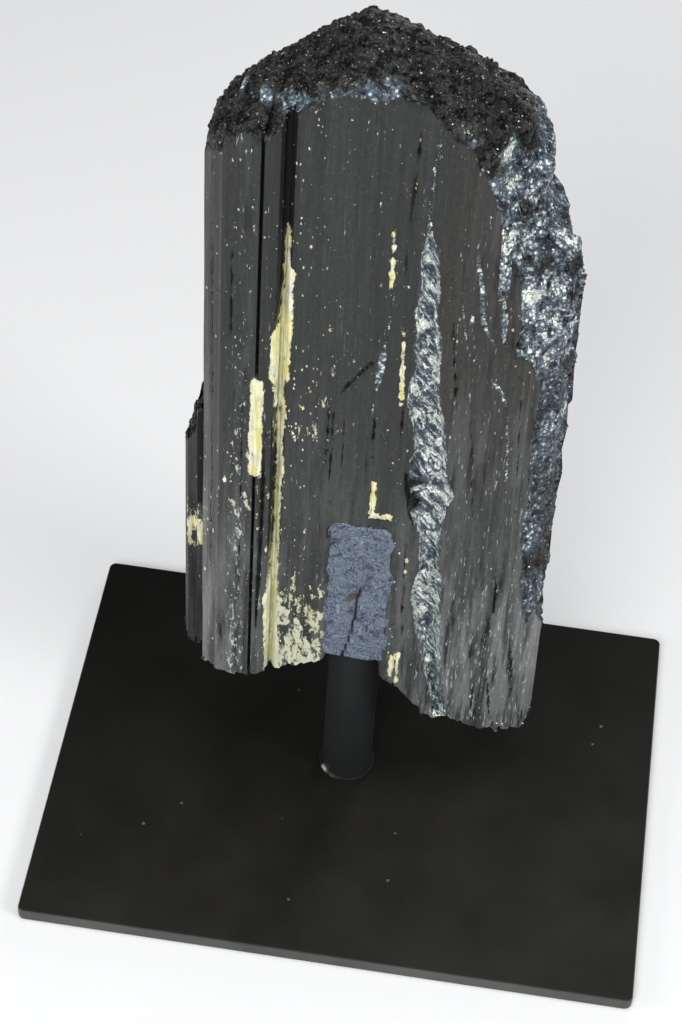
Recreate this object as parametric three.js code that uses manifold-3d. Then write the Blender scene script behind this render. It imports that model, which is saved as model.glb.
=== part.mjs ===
// A black tourmaline (schorl) crystal, held on a steel rod that stands on a flat steel plate.
//
// Millimetres, +Z up. The origin is the middle of the plate's underside, and the crystal's
// flat striated face looks along -Y. The crystal is one natural piece: a striated prism with
// a broken, domed top and a thin crystal grown onto its left side. A slot in its lower front
// takes the top of the rod, and putty fills the slot.

import * as THREE from 'three';
import { mergeVertices } from 'three/addons/utils/BufferGeometryUtils.js';
import Module from 'manifold-3d';

// Stand
const PLATE_WIDTH = 120;
const PLATE_DEPTH = 90;
const PLATE_THICKNESS = 3;
const PLATE_CORNER = 1.0;
const PLATE_EDGE = 0.45;
const ROD_X = -2.0;
const ROD_Y = 2.0;
const ROD_RADIUS = 5.0;
const ROD_TOP = 80;
const ROD_CHAMFER = 0.8;
const ROD_SIDES = 40;
const WELD_WIDTH = 1.3;
const WELD_HEIGHT = 0.9;

// Putty in the slot
const SLOT_LEFT = -7.8;
const SLOT_RIGHT = 4.3;
const SLOT_FRONT = -7.0;
const SLOT_BACK = 8.4;
const SLOT_BOTTOM = 48.5;
const SLOT_TOP = 86;
const SLOT_CORNER = 2.6;
const SEAT_GAP = 0.3;

// Corners of the crystal's cross-section at MID_HEIGHT as [x, y]. The front list runs from
// the left edge along the striated front to the right edge, and holds the two long grooves.
// The back list returns from the right edge round the back to the left edge.
const MID_HEIGHT = 110;
const FRONT_CORNERS = [
  [-32.0, 3.5], [-31.2, -3.4], [-27.9, -6.6], [-22.0, -7.3], [-21.4, -6.1], [-20.7, -7.7],
  [-18.5, -7.8], [-17.9, -5.2], [-17.1, -5.2], [-15.9, -6.9], [3.0, -7.2], [4.2, -6.4],
  [7.0, -6.2], [8.6, -6.4], [24.5, -1.4], [30.0, 3.2], [31.6, 8.0],
];
const BACK_CORNERS = [
  [31.6, 8.0], [30.0, 15.5], [24.5, 21.5], [13.0, 25.6], [10.6, 24.6], [-3.0, 27.0],
  [-16.0, 25.0], [-25.5, 19.5], [-31.0, 11.0], [-32.0, 3.5],
];

// How far the right edge spreads outwards for each millimetre further down.
const FLARE = 0.024;
const RIGHT_EDGE = 32;

// Height where each upright face stops at the broken top, by x along the front.
const RIM_BY_X = [
  [-32.0, 162], [-30.5, 166], [-27.9, 168.5], [-25.2, 172], [-21.3, 169.5], [-17.6, 176.5],
  [-11.7, 180.5], [-4.0, 182.4], [3.4, 180.2], [8.3, 175.5], [11.9, 168.5], [14.8, 161],
  [16.5, 154], [20.3, 134], [24.5, 126], [28.0, 131], [30.0, 139], [31.6, 141],
];
const BACK_RIM_DROP = 2.0;

// The broken top's ridge line, height by x. In front it falls away as a curve. Behind it
// bends over BACK_BEND millimetres into an even slope.
const RIDGE_Y = 3;
const RIDGE_BY_X = [
  [-32.0, 164.5], [-29.6, 170.6], [-25.6, 174.8], [-21.8, 178], [-16.8, 181.8], [-12.0, 185.2],
  [-8.0, 187.4], [-4.0, 187.2], [1.7, 185.1], [8.3, 182.8], [12.5, 180.3], [15.6, 177.8],
  [20.1, 172.8], [23.4, 167], [25.1, 157.5], [26.5, 150], [28.5, 144.5], [33.0, 139],
];
const FALL_IN_FRONT = 0.045;
const BACK_SLOPE = 0.9;
const BACK_BEND = 6;

// How far the broken edge steps in from the upright faces, by x.
const STEP_IN_BY_X = [[-32, 2.2], [8, 2.4], [14, 5], [20, 7], [26, 6.5], [33, 6]];
const BACK_STEP_IN = 2.4;

// Lower end, height by x along the front and along the back.
const FOOT_BY_X = [
  [-32.0, 38], [-31.2, 36.5], [-28.0, 37.5], [-20.0, 39.2], [-13.6, 43], [-8.8, 45],
  [-5.0, 49], [-2.0, 50.2], [1.5, 49], [3.3, 44.5], [5.8, 42], [9.9, 35.5], [12.0, 31.9],
  [17.0, 29.7], [19.0, 27.2], [24.0, 24.6], [28.0, 21.7], [30.0, 21.2], [31.6, 23],
];
const BACK_FOOT_BY_X = [[-32, 38], [-22, 35], [-4, 38], [14, 33], [26, 27], [31.6, 23]];
const ROD_HOLLOW = 49.5;
const ROD_HOLLOW_SPREAD = 9;

// The line that the faces step in towards.
const SPINE_Y = 9;
const SPINE_LEFT = -14;
const SPINE_RIGHT = 12;

// Crystal mesh: columns along the front (and as many along the back), then rows.
const COLUMNS = 48;
const WALL_ROWS = 11;
const SHOULDER_ROWS = 3;
const LID_STEPS = 7;

// Thin crystal on the left side, as [x, y] corners, each with its own broken height.
const SIDE_FOOT = 29.5;
const SIDE_CORNERS = [
  [-35.6, 5.6, 88], [-31.8, 4.8, 99], [-27.5, 8.0, 100], [-27.5, 14.0, 97],
  [-33.0, 15.6, 91], [-36.9, 11.2, 84],
];
const SIDE_LIP = 1.6;

const wasm = await Module();
wasm.setup();

// Straight-line reading of a table of [x, value] pairs.
function read(table, x) {
  const last = table.length - 1;
  if (x <= table[0][0]) return table[0][1];
  if (x >= table[last][0]) return table[last][1];
  const k = table.findIndex((row) => row[0] > x) - 1;
  const [x0, v0] = table[k];
  const [x1, v1] = table[k + 1];
  return v0 + ((v1 - v0) * (x - x0)) / (x1 - x0);
}

// Even points along a chain of corners, with the nearest point moved onto each corner.
function along(corners, count) {
  const reach = [0];
  for (let k = 1; k < corners.length; k += 1) {
    const [x0, y0] = corners[k - 1];
    const [x1, y1] = corners[k];
    reach.push(reach[k - 1] + Math.hypot(x1 - x0, y1 - y0));
  }
  const total = reach[reach.length - 1];
  const stops = Array.from({ length: count + 1 }, (_, i) => (total * i) / count);
  let lowest = 1;
  for (const corner of reach.slice(1, -1)) {
    const nearest = Math.max(lowest, Math.round((corner / total) * count));
    stops[nearest] = corner;
    lowest = nearest + 1;
  }
  const byReach = (axis) => corners.map((corner, k) => [reach[k], corner[axis]]);
  return stops.map((stop) => [read(byReach(0), stop), read(byReach(1), stop)]);
}

// Height of the broken top over any point of the plan.
function topHeight(x, y) {
  const past = y - RIDGE_Y;
  const inFront = FALL_IN_FRONT * past ** 2;
  const behind = BACK_SLOPE * (Math.hypot(past, BACK_BEND) - BACK_BEND);
  return read(RIDGE_BY_X, x) - (past < 0 ? inFront : behind);
}

function flared(x, z) {
  return x + FLARE * (MID_HEIGHT - z) * Math.max(0, x / RIGHT_EDGE) ** 2;
}

// One upright column of the crystal: its place in plan, its foot, rim and inner edge.
function makeColumn([x, y], atFront) {
  const spineX = Math.min(SPINE_RIGHT, Math.max(SPINE_LEFT, x));
  const reach = Math.hypot(spineX - x, SPINE_Y - y);
  const stepIn = atFront ? read(STEP_IN_BY_X, x) : BACK_STEP_IN;
  const share = stepIn / reach;
  const inner = [x + (spineX - x) * share, y + (SPINE_Y - y) * share];
  const foot = read(atFront ? FOOT_BY_X : BACK_FOOT_BY_X, x);
  const rim = atFront ? read(RIM_BY_X, x) : topHeight(x, y) - BACK_RIM_DROP;
  return { x, y, inner, foot, rim };
}

function wallPoint(column, row) {
  if (row <= WALL_ROWS) {
    const z = THREE.MathUtils.lerp(column.foot, column.rim, row / WALL_ROWS);
    return [flared(column.x, z), column.y, z];
  }
  const share = (row - WALL_ROWS) / SHOULDER_ROWS;
  const [innerX, innerY] = column.inner;
  const x = THREE.MathUtils.lerp(column.x, innerX, share);
  const y = THREE.MathUtils.lerp(column.y, innerY, share);
  const z = THREE.MathUtils.lerp(column.rim, topHeight(innerX, innerY), share ** 0.8);
  return [flared(x, z), y, z];
}

// A point of the top or bottom lid, on the line from a front column to its back column.
function topLidPoint(front, back, share) {
  const x = THREE.MathUtils.lerp(front.inner[0], back.inner[0], share);
  const y = THREE.MathUtils.lerp(front.inner[1], back.inner[1], share);
  const z = topHeight(x, y);
  return [flared(x, z), y, z];
}

function bottomLidPoint(front, back, share) {
  const x = THREE.MathUtils.lerp(front.x, back.x, share);
  const y = THREE.MathUtils.lerp(front.y, back.y, share);
  const even = THREE.MathUtils.lerp(front.foot, back.foot, share);
  const inside = Math.sin(Math.PI * share);
  const toRod = Math.hypot(x - ROD_X, y - ROD_Y) / ROD_HOLLOW_SPREAD;
  const z = even + inside * Math.max(0, ROD_HOLLOW - even) * Math.exp(-(toRod ** 2));
  return [flared(x, z), y, z];
}

// A closed geometry from points and triangles, with equal points joined.
function meshFrom(points, triangles) {
  const geometry = new THREE.BufferGeometry();
  geometry.setAttribute('position', new THREE.Float32BufferAttribute(points.flat(), 3));
  geometry.setIndex(triangles.flat());
  return mergeVertices(geometry, 1e-4);
}

function quad(a, b, c, d) {
  return [[a, b, c], [a, c, d]];
}

function crystalBody() {
  const frontPlaces = along(FRONT_CORNERS, COLUMNS);
  const backPlaces = along(BACK_CORNERS, COLUMNS);
  const front = frontPlaces.map((place) => makeColumn(place, true));
  const back = backPlaces.map((place) => makeColumn(place, false));
  back[0] = front[COLUMNS];
  back[COLUMNS] = front[0];
  const ring = [...front.slice(0, COLUMNS), ...back.slice(0, COLUMNS)];
  const rows = WALL_ROWS + SHOULDER_ROWS;
  const points = [];
  const triangles = [];
  ring.forEach((column) => {
    for (let row = 0; row <= rows; row += 1) points.push(wallPoint(column, row));
  });
  const stride = rows + 1;
  ring.forEach((_, i) => {
    const here = i * stride;
    const next = ((i + 1) % ring.length) * stride;
    for (let row = 0; row < rows; row += 1) {
      triangles.push(...quad(here + row, next + row, next + row + 1, here + row + 1));
    }
  });
  for (const lid of [topLidPoint, bottomLidPoint]) {
    const start = points.length;
    const lidStride = LID_STEPS + 1;
    front.forEach((column, i) => {
      for (let step = 0; step <= LID_STEPS; step += 1) {
        points.push(lid(column, back[COLUMNS - i], step / LID_STEPS));
      }
    });
    for (let i = 0; i < COLUMNS; i += 1) {
      for (let step = 0; step < LID_STEPS; step += 1) {
        const a = start + i * lidStride + step;
        const corners = [a, a + lidStride, a + lidStride + 1, a + 1];
        triangles.push(...quad(...(lid === topLidPoint ? corners : corners.reverse())));
      }
    }
  }
  return meshFrom(points, triangles);
}

// A short prism with its own height at each corner, closed by fans round its middle.
function sideCrystal() {
  const count = SIDE_CORNERS.length;
  const middle = SIDE_CORNERS.reduce(
    (sum, [x, y, z]) => [sum[0] + x / count, sum[1] + y / count, sum[2] + z / count],
    [0, 0, 0],
  );
  const points = [];
  for (const [x, y, top] of SIDE_CORNERS) points.push([x, y, SIDE_FOOT], [x, y, top]);
  points.push([middle[0], middle[1], SIDE_FOOT], [middle[0], middle[1], middle[2] + SIDE_LIP]);
  const triangles = [];
  for (let k = 0; k < count; k += 1) {
    const here = 2 * k;
    const next = 2 * ((k + 1) % count);
    triangles.push(...quad(here, next, next + 1, here + 1));
    triangles.push([2 * count, next, here], [2 * count + 1, here + 1, next + 1]);
  }
  return meshFrom(points, triangles);
}

// Manifold solids and back again.
function toSolid(geometry) {
  const bare = geometry.clone();
  bare.deleteAttribute('normal');
  bare.deleteAttribute('uv');
  const merged = mergeVertices(bare, 1e-4);
  const vertProperties = new Float32Array(merged.attributes.position.array);
  const triVerts = new Uint32Array(merged.index.array);
  return new wasm.Manifold(new wasm.Mesh({ numProp: 3, vertProperties, triVerts }));
}

function toGeometry(solid) {
  const { vertProperties, triVerts } = solid.getMesh();
  const geometry = new THREE.BufferGeometry();
  geometry.setAttribute('position', new THREE.BufferAttribute(vertProperties, 3));
  geometry.setIndex(new THREE.BufferAttribute(triVerts, 1));
  return geometry;
}

// The slot's room: an upright slab with rounded top corners, grown by a gap all round.
function slotBlock(grow, bottom) {
  const left = SLOT_LEFT - grow;
  const right = SLOT_RIGHT + grow;
  const top = SLOT_TOP + grow;
  const outline = new THREE.Shape();
  outline.moveTo(left, bottom);
  outline.lineTo(right, bottom);
  outline.lineTo(right, top - SLOT_CORNER);
  outline.absarc(right - SLOT_CORNER, top - SLOT_CORNER, SLOT_CORNER, 0, Math.PI / 2);
  outline.absarc(left + SLOT_CORNER, top - SLOT_CORNER, SLOT_CORNER, Math.PI / 2, Math.PI);
  const depth = SLOT_BACK - SLOT_FRONT + 2 * grow;
  const block = new THREE.ExtrudeGeometry(outline, { depth, bevelEnabled: false, curveSegments: 6 });
  block.rotateX(Math.PI / 2);
  block.translate(0, SLOT_BACK + grow, 0);
  return block;
}

function roundBar(radius, bottom, top, chamfer) {
  const profile = [
    new THREE.Vector2(0, bottom),
    new THREE.Vector2(radius, bottom),
    new THREE.Vector2(radius, top - chamfer),
    new THREE.Vector2(radius - chamfer, top),
    new THREE.Vector2(0, top),
  ];
  const bar = new THREE.LatheGeometry(profile, ROD_SIDES);
  bar.rotateX(Math.PI / 2);
  bar.translate(ROD_X, ROD_Y, 0);
  return bar;
}

function plate() {
  const halfWidth = PLATE_WIDTH / 2 - PLATE_EDGE;
  const halfDepth = PLATE_DEPTH / 2 - PLATE_EDGE;
  const r = PLATE_CORNER;
  const outline = new THREE.Shape();
  outline.absarc(halfWidth - r, halfDepth - r, r, 0, Math.PI / 2);
  outline.absarc(r - halfWidth, halfDepth - r, r, Math.PI / 2, Math.PI);
  outline.absarc(r - halfWidth, r - halfDepth, r, Math.PI, 1.5 * Math.PI);
  outline.absarc(halfWidth - r, r - halfDepth, r, 1.5 * Math.PI, 2 * Math.PI);
  const slab = new THREE.ExtrudeGeometry(outline, {
    depth: PLATE_THICKNESS - 2 * PLATE_EDGE,
    bevelThickness: PLATE_EDGE,
    bevelSize: PLATE_EDGE,
    bevelSegments: 3,
    curveSegments: 5,
  });
  slab.translate(0, 0, PLATE_EDGE);
  return slab;
}

// A low quarter-round bead on the plate, all round the rod's foot.
function weldBead() {
  const inner = ROD_RADIUS + SEAT_GAP / 2;
  const profile = [];
  const steps = 4;
  for (let k = 0; k <= steps; k += 1) {
    const turn = (k / steps) * (Math.PI / 2);
    profile.push(new THREE.Vector2(
      inner + WELD_WIDTH * Math.cos(turn),
      PLATE_THICKNESS + WELD_HEIGHT * Math.sin(turn),
    ));
  }
  profile.push(new THREE.Vector2(inner, PLATE_THICKNESS), profile[0].clone());
  const bead = new THREE.LatheGeometry(profile, ROD_SIDES);
  bead.rotateX(Math.PI / 2);
  bead.translate(ROD_X, ROD_Y, 0);
  return bead;
}

function crystal() {
  const grown = toSolid(crystalBody()).add(toSolid(sideCrystal()));
  return toGeometry(grown.subtract(toSolid(slotBlock(SEAT_GAP, 0))));
}

function putty() {
  const rodRoom = roundBar(ROD_RADIUS + SEAT_GAP, 0, ROD_TOP + SEAT_GAP, ROD_CHAMFER);
  return toGeometry(toSolid(slotBlock(0, SLOT_BOTTOM)).subtract(toSolid(rodRoom)));
}

function finish(colour, roughness, metalness) {
  return new THREE.MeshStandardMaterial({ color: colour, roughness, metalness });
}

const pieces = [
  ['base_plate', plate(), finish(0x1c1b18, 0.5, 0.1)],
  ['rod', roundBar(ROD_RADIUS, PLATE_THICKNESS, ROD_TOP, ROD_CHAMFER), finish(0x1a1b1d, 0.45, 0.1)],
  ['rod_foot_weld', weldBead(), finish(0x56544c, 0.6, 0.2)],
  ['crystal', crystal(), finish(0x34332f, 0.4, 0.0)],
  ['socket_filler', putty(), finish(0x55607a, 0.85, 0.0)],
];

const object = new THREE.Group();
for (const [name, geometry, material] of pieces) {
  const mesh = new THREE.Mesh(geometry, material);
  mesh.name = name;
  object.add(mesh);
}

export default object;
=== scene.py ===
# %% [markdown]
# # A black tourmaline crystal on its stand
# The object is a broken length of black tourmaline, which mineral dealers call schorl, held
# on a short steel rod above a steel plate. The plate and the rod come straight from the
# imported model. The crystal, its putty and the weld bead need finer surfaces than solids can
# carry, so they are built here as meshes over the same dimensions.

# %% Load the frame
import math

import bpy
import numpy as np
from mathutils import Matrix, Vector


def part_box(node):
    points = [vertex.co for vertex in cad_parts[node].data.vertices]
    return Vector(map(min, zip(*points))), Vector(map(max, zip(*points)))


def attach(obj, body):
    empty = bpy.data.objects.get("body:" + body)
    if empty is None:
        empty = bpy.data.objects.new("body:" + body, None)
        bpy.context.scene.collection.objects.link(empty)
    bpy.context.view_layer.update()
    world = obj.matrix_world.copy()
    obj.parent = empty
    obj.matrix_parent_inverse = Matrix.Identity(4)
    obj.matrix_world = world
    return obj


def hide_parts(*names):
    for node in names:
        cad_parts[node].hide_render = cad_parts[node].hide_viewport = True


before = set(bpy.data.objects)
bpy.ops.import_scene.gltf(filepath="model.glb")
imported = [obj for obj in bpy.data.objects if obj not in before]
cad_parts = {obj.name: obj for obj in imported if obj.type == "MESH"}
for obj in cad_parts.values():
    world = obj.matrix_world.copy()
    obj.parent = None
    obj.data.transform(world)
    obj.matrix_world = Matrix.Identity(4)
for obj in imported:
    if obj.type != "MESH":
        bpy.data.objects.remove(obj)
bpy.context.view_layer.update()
MM = 0.001


def box_mm(node):
    """Lowest and highest corner of a node, in millimetres."""
    low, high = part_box(node)
    return np.array(low) / MM, np.array(high) / MM


plate_low, plate_high = box_mm("base_plate")
rod_low, rod_high = box_mm("rod")
slot_low, slot_high = box_mm("socket_filler")
rod_centre = (rod_low + rod_high) / 2
rod_radius = (rod_high[0] - rod_low[0]) / 2
plate_top = plate_high[2]
print("plate", plate_high - plate_low, "rod radius", round(rod_radius, 2))

# %% [markdown]
# ## Camera
# The stand is seen from the front, a little to its right and from about 48 degrees above
# the table, with the camera held slightly off level. A long lens keeps the uprights nearly
# parallel.

# %% Set the camera
AIM = Vector((-6.6, 2.0, 78.4)) * MM
CAMERA_SIDE = math.radians(5.29)
CAMERA_RISE = math.radians(48.52)
CAMERA_ROLL = math.radians(3.93)
CAMERA_DISTANCE = 455.8 * MM
LENS = 87.9

outward = Vector((
    math.sin(CAMERA_SIDE) * math.cos(CAMERA_RISE),
    -math.cos(CAMERA_SIDE) * math.cos(CAMERA_RISE),
    math.sin(CAMERA_RISE),
))
camera = bpy.data.objects.new("camera", bpy.data.cameras.new("camera"))
camera.data.lens = LENS
camera.data.sensor_width = 36.0
level_view = (-outward).to_track_quat("-Z", "Y").to_matrix()
camera.matrix_world = Matrix.Translation(AIM + outward * CAMERA_DISTANCE) @ (
    level_view @ Matrix.Rotation(CAMERA_ROLL, 3, "Z")
).to_4x4()
bpy.context.scene.collection.objects.link(camera)
bpy.context.scene.camera = camera
print("camera at", [round(v / MM) for v in camera.location])

# %% [markdown]
# ## Light and floor
# Black stone is seen by what it mirrors more than by its own colour. So the room is dim,
# and a few broad panels hang where the faces, the broken top and the rod can catch them.

# %% Hang the lights and lay the floor
CRYSTAL_MIDDLE = Vector((0, 0, 110)) * MM
LIGHTS = [  # name, place and size in millimetres, watts
    ("front_light", (-150, -560, 560), 300, 3.2),
    ("right_light", (560, -260, 420), 220, 2.6),
    ("left_light", (-620, -240, 300), 260, 1.45),
    ("top_light", (0, -60, 900), 500, 4.3),
    ("back_light", (200, 700, 250), 260, 1.4),
]
ROOM_COLOUR = (0.8, 0.86, 1.0, 1)
ROOM_GLOW = 0.1
FLOOR_HALF = 1500

for name, place, size, power in LIGHTS:
    lamp = bpy.data.lights.new(name, "AREA")
    lamp.size = size * MM
    lamp.energy = power
    panel = bpy.data.objects.new(name, lamp)
    panel.location = Vector(place) * MM
    panel.rotation_mode = "QUATERNION"
    panel.rotation_quaternion = (CRYSTAL_MIDDLE - panel.location).to_track_quat("-Z", "Y")
    bpy.context.scene.collection.objects.link(panel)

room = bpy.data.worlds.new("room")
room.use_nodes = True
room.node_tree.nodes["Background"].inputs["Color"].default_value = ROOM_COLOUR
room.node_tree.nodes["Background"].inputs["Strength"].default_value = ROOM_GLOW
bpy.context.scene.world = room
bpy.context.scene.view_settings.view_transform = "Standard"


def add_mesh(name, points, faces):
    """A new mesh object in the scene; points are in millimetres."""
    mesh = bpy.data.meshes.new(name)
    mesh.from_pydata((np.reshape(points, (-1, 3)) * MM).tolist(), [], faces)
    piece = bpy.data.objects.new(name, mesh)
    bpy.context.scene.collection.objects.link(piece)
    return piece


floor_corners = np.array([(-1, -1, 0), (1, -1, 0), (1, 1, 0), (-1, 1, 0)])
floor = add_mesh("floor", floor_corners * FLOOR_HALF, [(0, 1, 2, 3)])
print(len(LIGHTS), "lights over a floor", 2 * FLOOR_HALF, "mm wide")

# %% [markdown]
# ## Writing shaders as sums
# Every finish is worked out from masks and noises. A wire from any node is wrapped in a
# small class, so that Python's own signs add the Math nodes.

# %% A wire that can be added and multiplied
class Wire:
    """One output of a shader tree, which takes part in Python arithmetic."""

    def __init__(self, paint, socket):
        self.paint = paint
        self.socket = socket

    def maths(self, operation, first, second):
        return self.paint.node("Math", {"operation": operation}, {0: first, 1: second})

    def __add__(self, other):
        return self.maths("ADD", self, other)

    def __sub__(self, other):
        return self.maths("SUBTRACT", self, other)

    def __rsub__(self, other):
        return self.maths("SUBTRACT", other, self)

    def __mul__(self, other):
        return self.maths("MULTIPLY", self, other)

    def __pow__(self, other):
        return self.maths("POWER", self, other)

    __radd__ = __add__
    __rmul__ = __mul__

    def between(self, low, high):
        """0 at low, 1 at high, with soft ends."""
        return self.paint.node(
            "MapRange",
            {"interpolation_type": "SMOOTHSTEP"},
            {"Value": self, "From Min": low, "From Max": high},
        )


print("a wire takes part in + - * and **")

# %% [markdown]
# ## One method for every other node
# Any node that isn't plain arithmetic goes through one method. The short methods after it
# only fill in what a noise, a mix of two colours or a bump needs.

# %% A material that adds nodes to itself
class Paint:
    """A material with a Principled shader, and one method that adds any node to it."""

    def __init__(self, name, **constants):
        self.material = bpy.data.materials.new(name)
        self.material.use_nodes = True
        self.tree = self.material.node_tree
        self.shader = self.tree.nodes["Principled BSDF"]
        for socket, value in constants.items():
            self.shader.inputs[socket.replace("_", " ")].default_value = value
        place = self.node("TexCoord", out="Object")
        self.place = self.vector("SCALE", place, scale=1 / MM)

    def node(self, kind, settings=None, sockets=None, out=0):
        """Any shader node, by its type without the ShaderNode that starts it."""
        node = self.tree.nodes.new("ShaderNode" + kind)
        for name, value in (settings or {}).items():
            setattr(node, name, value)
        for name, value in (sockets or {}).items():
            self.plug(node.inputs[name], value)
        return Wire(self, node.outputs[out])

    def plug(self, socket, value):
        if isinstance(value, Wire):
            self.tree.links.new(value.socket, socket)
        else:
            socket.default_value = value

    def vector(self, operation, first, second=None, scale=None):
        given = {0: first, 1: second, "Scale": scale}
        sockets = {name: value for name, value in given.items() if value is not None}
        return self.node("VectorMath", {"operation": operation}, sockets)

    def noise(self, scale, detail=2.0, roughness=0.55, stretch=(1, 1, 1), place=None):
        """Smooth noise from 0 to 1; scale is in bumps per millimetre."""
        place = self.vector("MULTIPLY", place or self.place, stretch)
        sockets = {"Vector": place, "Scale": scale, "Detail": detail}
        sockets["Roughness"] = roughness
        return self.node("TexNoise", {}, sockets)

    def cells(self, scale, out, stretch=(1, 1, 1)):
        """Voronoi cells, scale in cells per millimetre."""
        sockets = {"Vector": self.vector("MULTIPLY", self.place, stretch), "Scale": scale}
        return self.node("TexVoronoi", {}, sockets, out)

    def measured(self, name):
        """A number that the mesh stores at each point."""
        return self.node("Attribute", {"attribute_name": name}, out="Fac")

    def part(self, kind, whole, which):
        """The first, second or third number of a Color or an XYZ."""
        return self.node("Separate" + kind, {}, {0: whole}, which)

    def mix(self, low, high, share):
        """Colour low where share is 0, high where it is 1."""
        settings = {"data_type": "RGBA"}
        return self.node("Mix", settings, {0: share, 6: low, 7: high}, out=2)

    def layered(self, colour, *coats):
        """Colour, with each coat of (colour, share) laid over it in turn."""
        for coat, share in coats:
            colour = self.mix(colour, coat, share)
        return colour

    def bump(self, height, distance, strength=1.0, normal=None):
        """A relief from height, distance in millimetres."""
        sockets = {"Height": height, "Distance": distance * MM, "Strength": strength}
        if normal is not None:
            sockets["Normal"] = normal
        return self.node("Bump", {}, sockets)

    def finish(self, **sockets):
        for socket, value in sockets.items():
            self.plug(self.shader.inputs[socket.replace("_", " ")], value)
        return self.material


def grey(value, warm=0.0):
    """A grey of one linear value; warm pushes it to brown, or to blue if negative."""
    return (value * (1 + warm), value, value * (1 - warm), 1)


floor_paint = Paint("pale_floor", Roughness=0.9)
floor.data.materials.append(floor_paint.finish(Base_Color=grey(0.72)))
print("painted", floor.name)

# %% [markdown]
# ## Noise for shapes
# The broken surfaces have to be real relief, so the same kinds of noise are needed in
# numbers. A chip noise gives each cell its own tilted plane, which is how brittle stone
# breaks. A pebble noise swells each cell into a round grain, which is how the top of this
# stone has crumbled.

# %% Soft, chipped and pebbly noise on arrays of points
def scatter(cells, seed):
    """Even random numbers from 0 to 1, three for each whole-number cell."""
    x, y, z = (cells[..., k].astype(np.int64) for k in range(3))
    mixed = x * 73856093 ^ y * 19349663 ^ z * 83492791 ^ seed * 2654435761
    out = []
    for salt in (1, 2, 3):
        h = (mixed + salt * 0x9E3779B1) & 0xFFFFFFFF
        h = ((h ^ (h >> 16)) * 0x45D9F3B) & 0xFFFFFFFF
        h = ((h ^ (h >> 16)) * 0x45D9F3B) & 0xFFFFFFFF
        out.append(((h ^ (h >> 16)) & 0xFFFFFF) / 0xFFFFFF)
    return np.stack(out, axis=-1)


def soft(points, size, seed):
    """Smooth lumps of about size, from -1 to 1."""
    spot = np.asarray(points) / size
    cell = np.floor(spot)
    part = spot - cell
    part = part * part * (3 - 2 * part)
    total = np.zeros(spot.shape[:-1])
    for corner in np.ndindex(2, 2, 2):
        weight = np.prod(np.where(np.array(corner), part, 1 - part), axis=-1)
        total += weight * scatter(cell + corner, seed)[..., 0]
    return total * 2 - 1


def nearest_cell(points, size, seed):
    """Offset from the nearest scattered centre, in cells, and that cell's three random numbers."""
    spot = np.asarray(points) / size
    cell = np.floor(spot)
    nearest = np.full(spot.shape[:-1], np.inf)
    offset, lot = np.zeros_like(spot), np.zeros_like(spot)
    for step in np.ndindex(3, 3, 3):
        around = cell + np.array(step) - 1
        away = spot - around - scatter(around, seed)
        distance = np.sum(away * away, axis=-1)
        closer = distance < nearest
        nearest[closer] = distance[closer]
        offset[closer] = away[closer]
        lot[closer] = scatter(around[closer], seed + 17)
    return offset, lot


def chips(points, size, seed, tilt=0.9):
    """Tilted flat chips of about size, roughly from -1 to 1."""
    offset, lot = nearest_cell(points, size, seed)
    return lot[..., 0] - 0.5 + tilt * np.sum((lot * 2 - 1) * offset, axis=-1)


def pebbles(points, size, seed):
    """Round grains of about size, each of its own height: 0 in the gaps, up to 1 on a crown."""
    offset, lot = nearest_cell(points, size, seed)
    crown = np.clip(1 - 1.5 * np.sum(offset * offset, axis=-1), 0, 1)
    return crown * (0.5 + 0.5 * lot[..., 1])


def ramp(value, low, high):
    share = np.clip((value - low) / (high - low), 0, 1)
    return share * share * (3 - 2 * share)


def near(value, middle, spread):
    """1 at middle, fading over spread on both sides."""
    return np.exp(-(((value - middle) / spread) ** 2))


def read(table, x):
    """Straight-line reading of (place, value) pairs."""
    places, values = zip(*table)
    return np.interp(x, places, values)


some_points = np.random.default_rng(1).random((999, 3)) * 50
print("soft noise spread", np.round(np.std(soft(some_points, 3, 5)), 2))

# %% [markdown]
# ## The crystal's shape
# Tourmaline grows as a three-sided prism with bulging, ribbed sides. This one shows a wide
# flat face, a left edge cut by two deep grooves, and a right face that turns away. Both
# ends are breaks. The outline is a chain of corners. Every column of the mesh climbs from
# the broken foot to the rim and on over the broken edge, and two lids close the top and the
# bottom.

# %% Outline and heights of the crystal
MID_HEIGHT = 110
FRONT_CORNERS = [
    (-32, 3.5), (-31.2, -3.4), (-27.9, -6.6), (-25, -7.1), (-21.8, -7.3), (-21.45, -6.2),
    (-21.1, -7.6), (-18.5, -7.8), (-18.1, -5.2), (-17.4, -5.2), (-16.3, -6.9), (-6, -7.3),
    (3, -7.2), (8.6, -6.4), (16, -4.4), (24.5, -1.4), (30, 3.2), (31.6, 8),
]
BACK_CORNERS = [
    (31.6, 8), (30, 15.5), (24.5, 21.5), (13, 25.6), (10.6, 24.6), (-3, 27),
    (-16, 25), (-25.5, 19.5), (-31, 11), (-32, 3.5),
]
FLARE = 0.024
RIGHT_EDGE = 32

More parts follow.
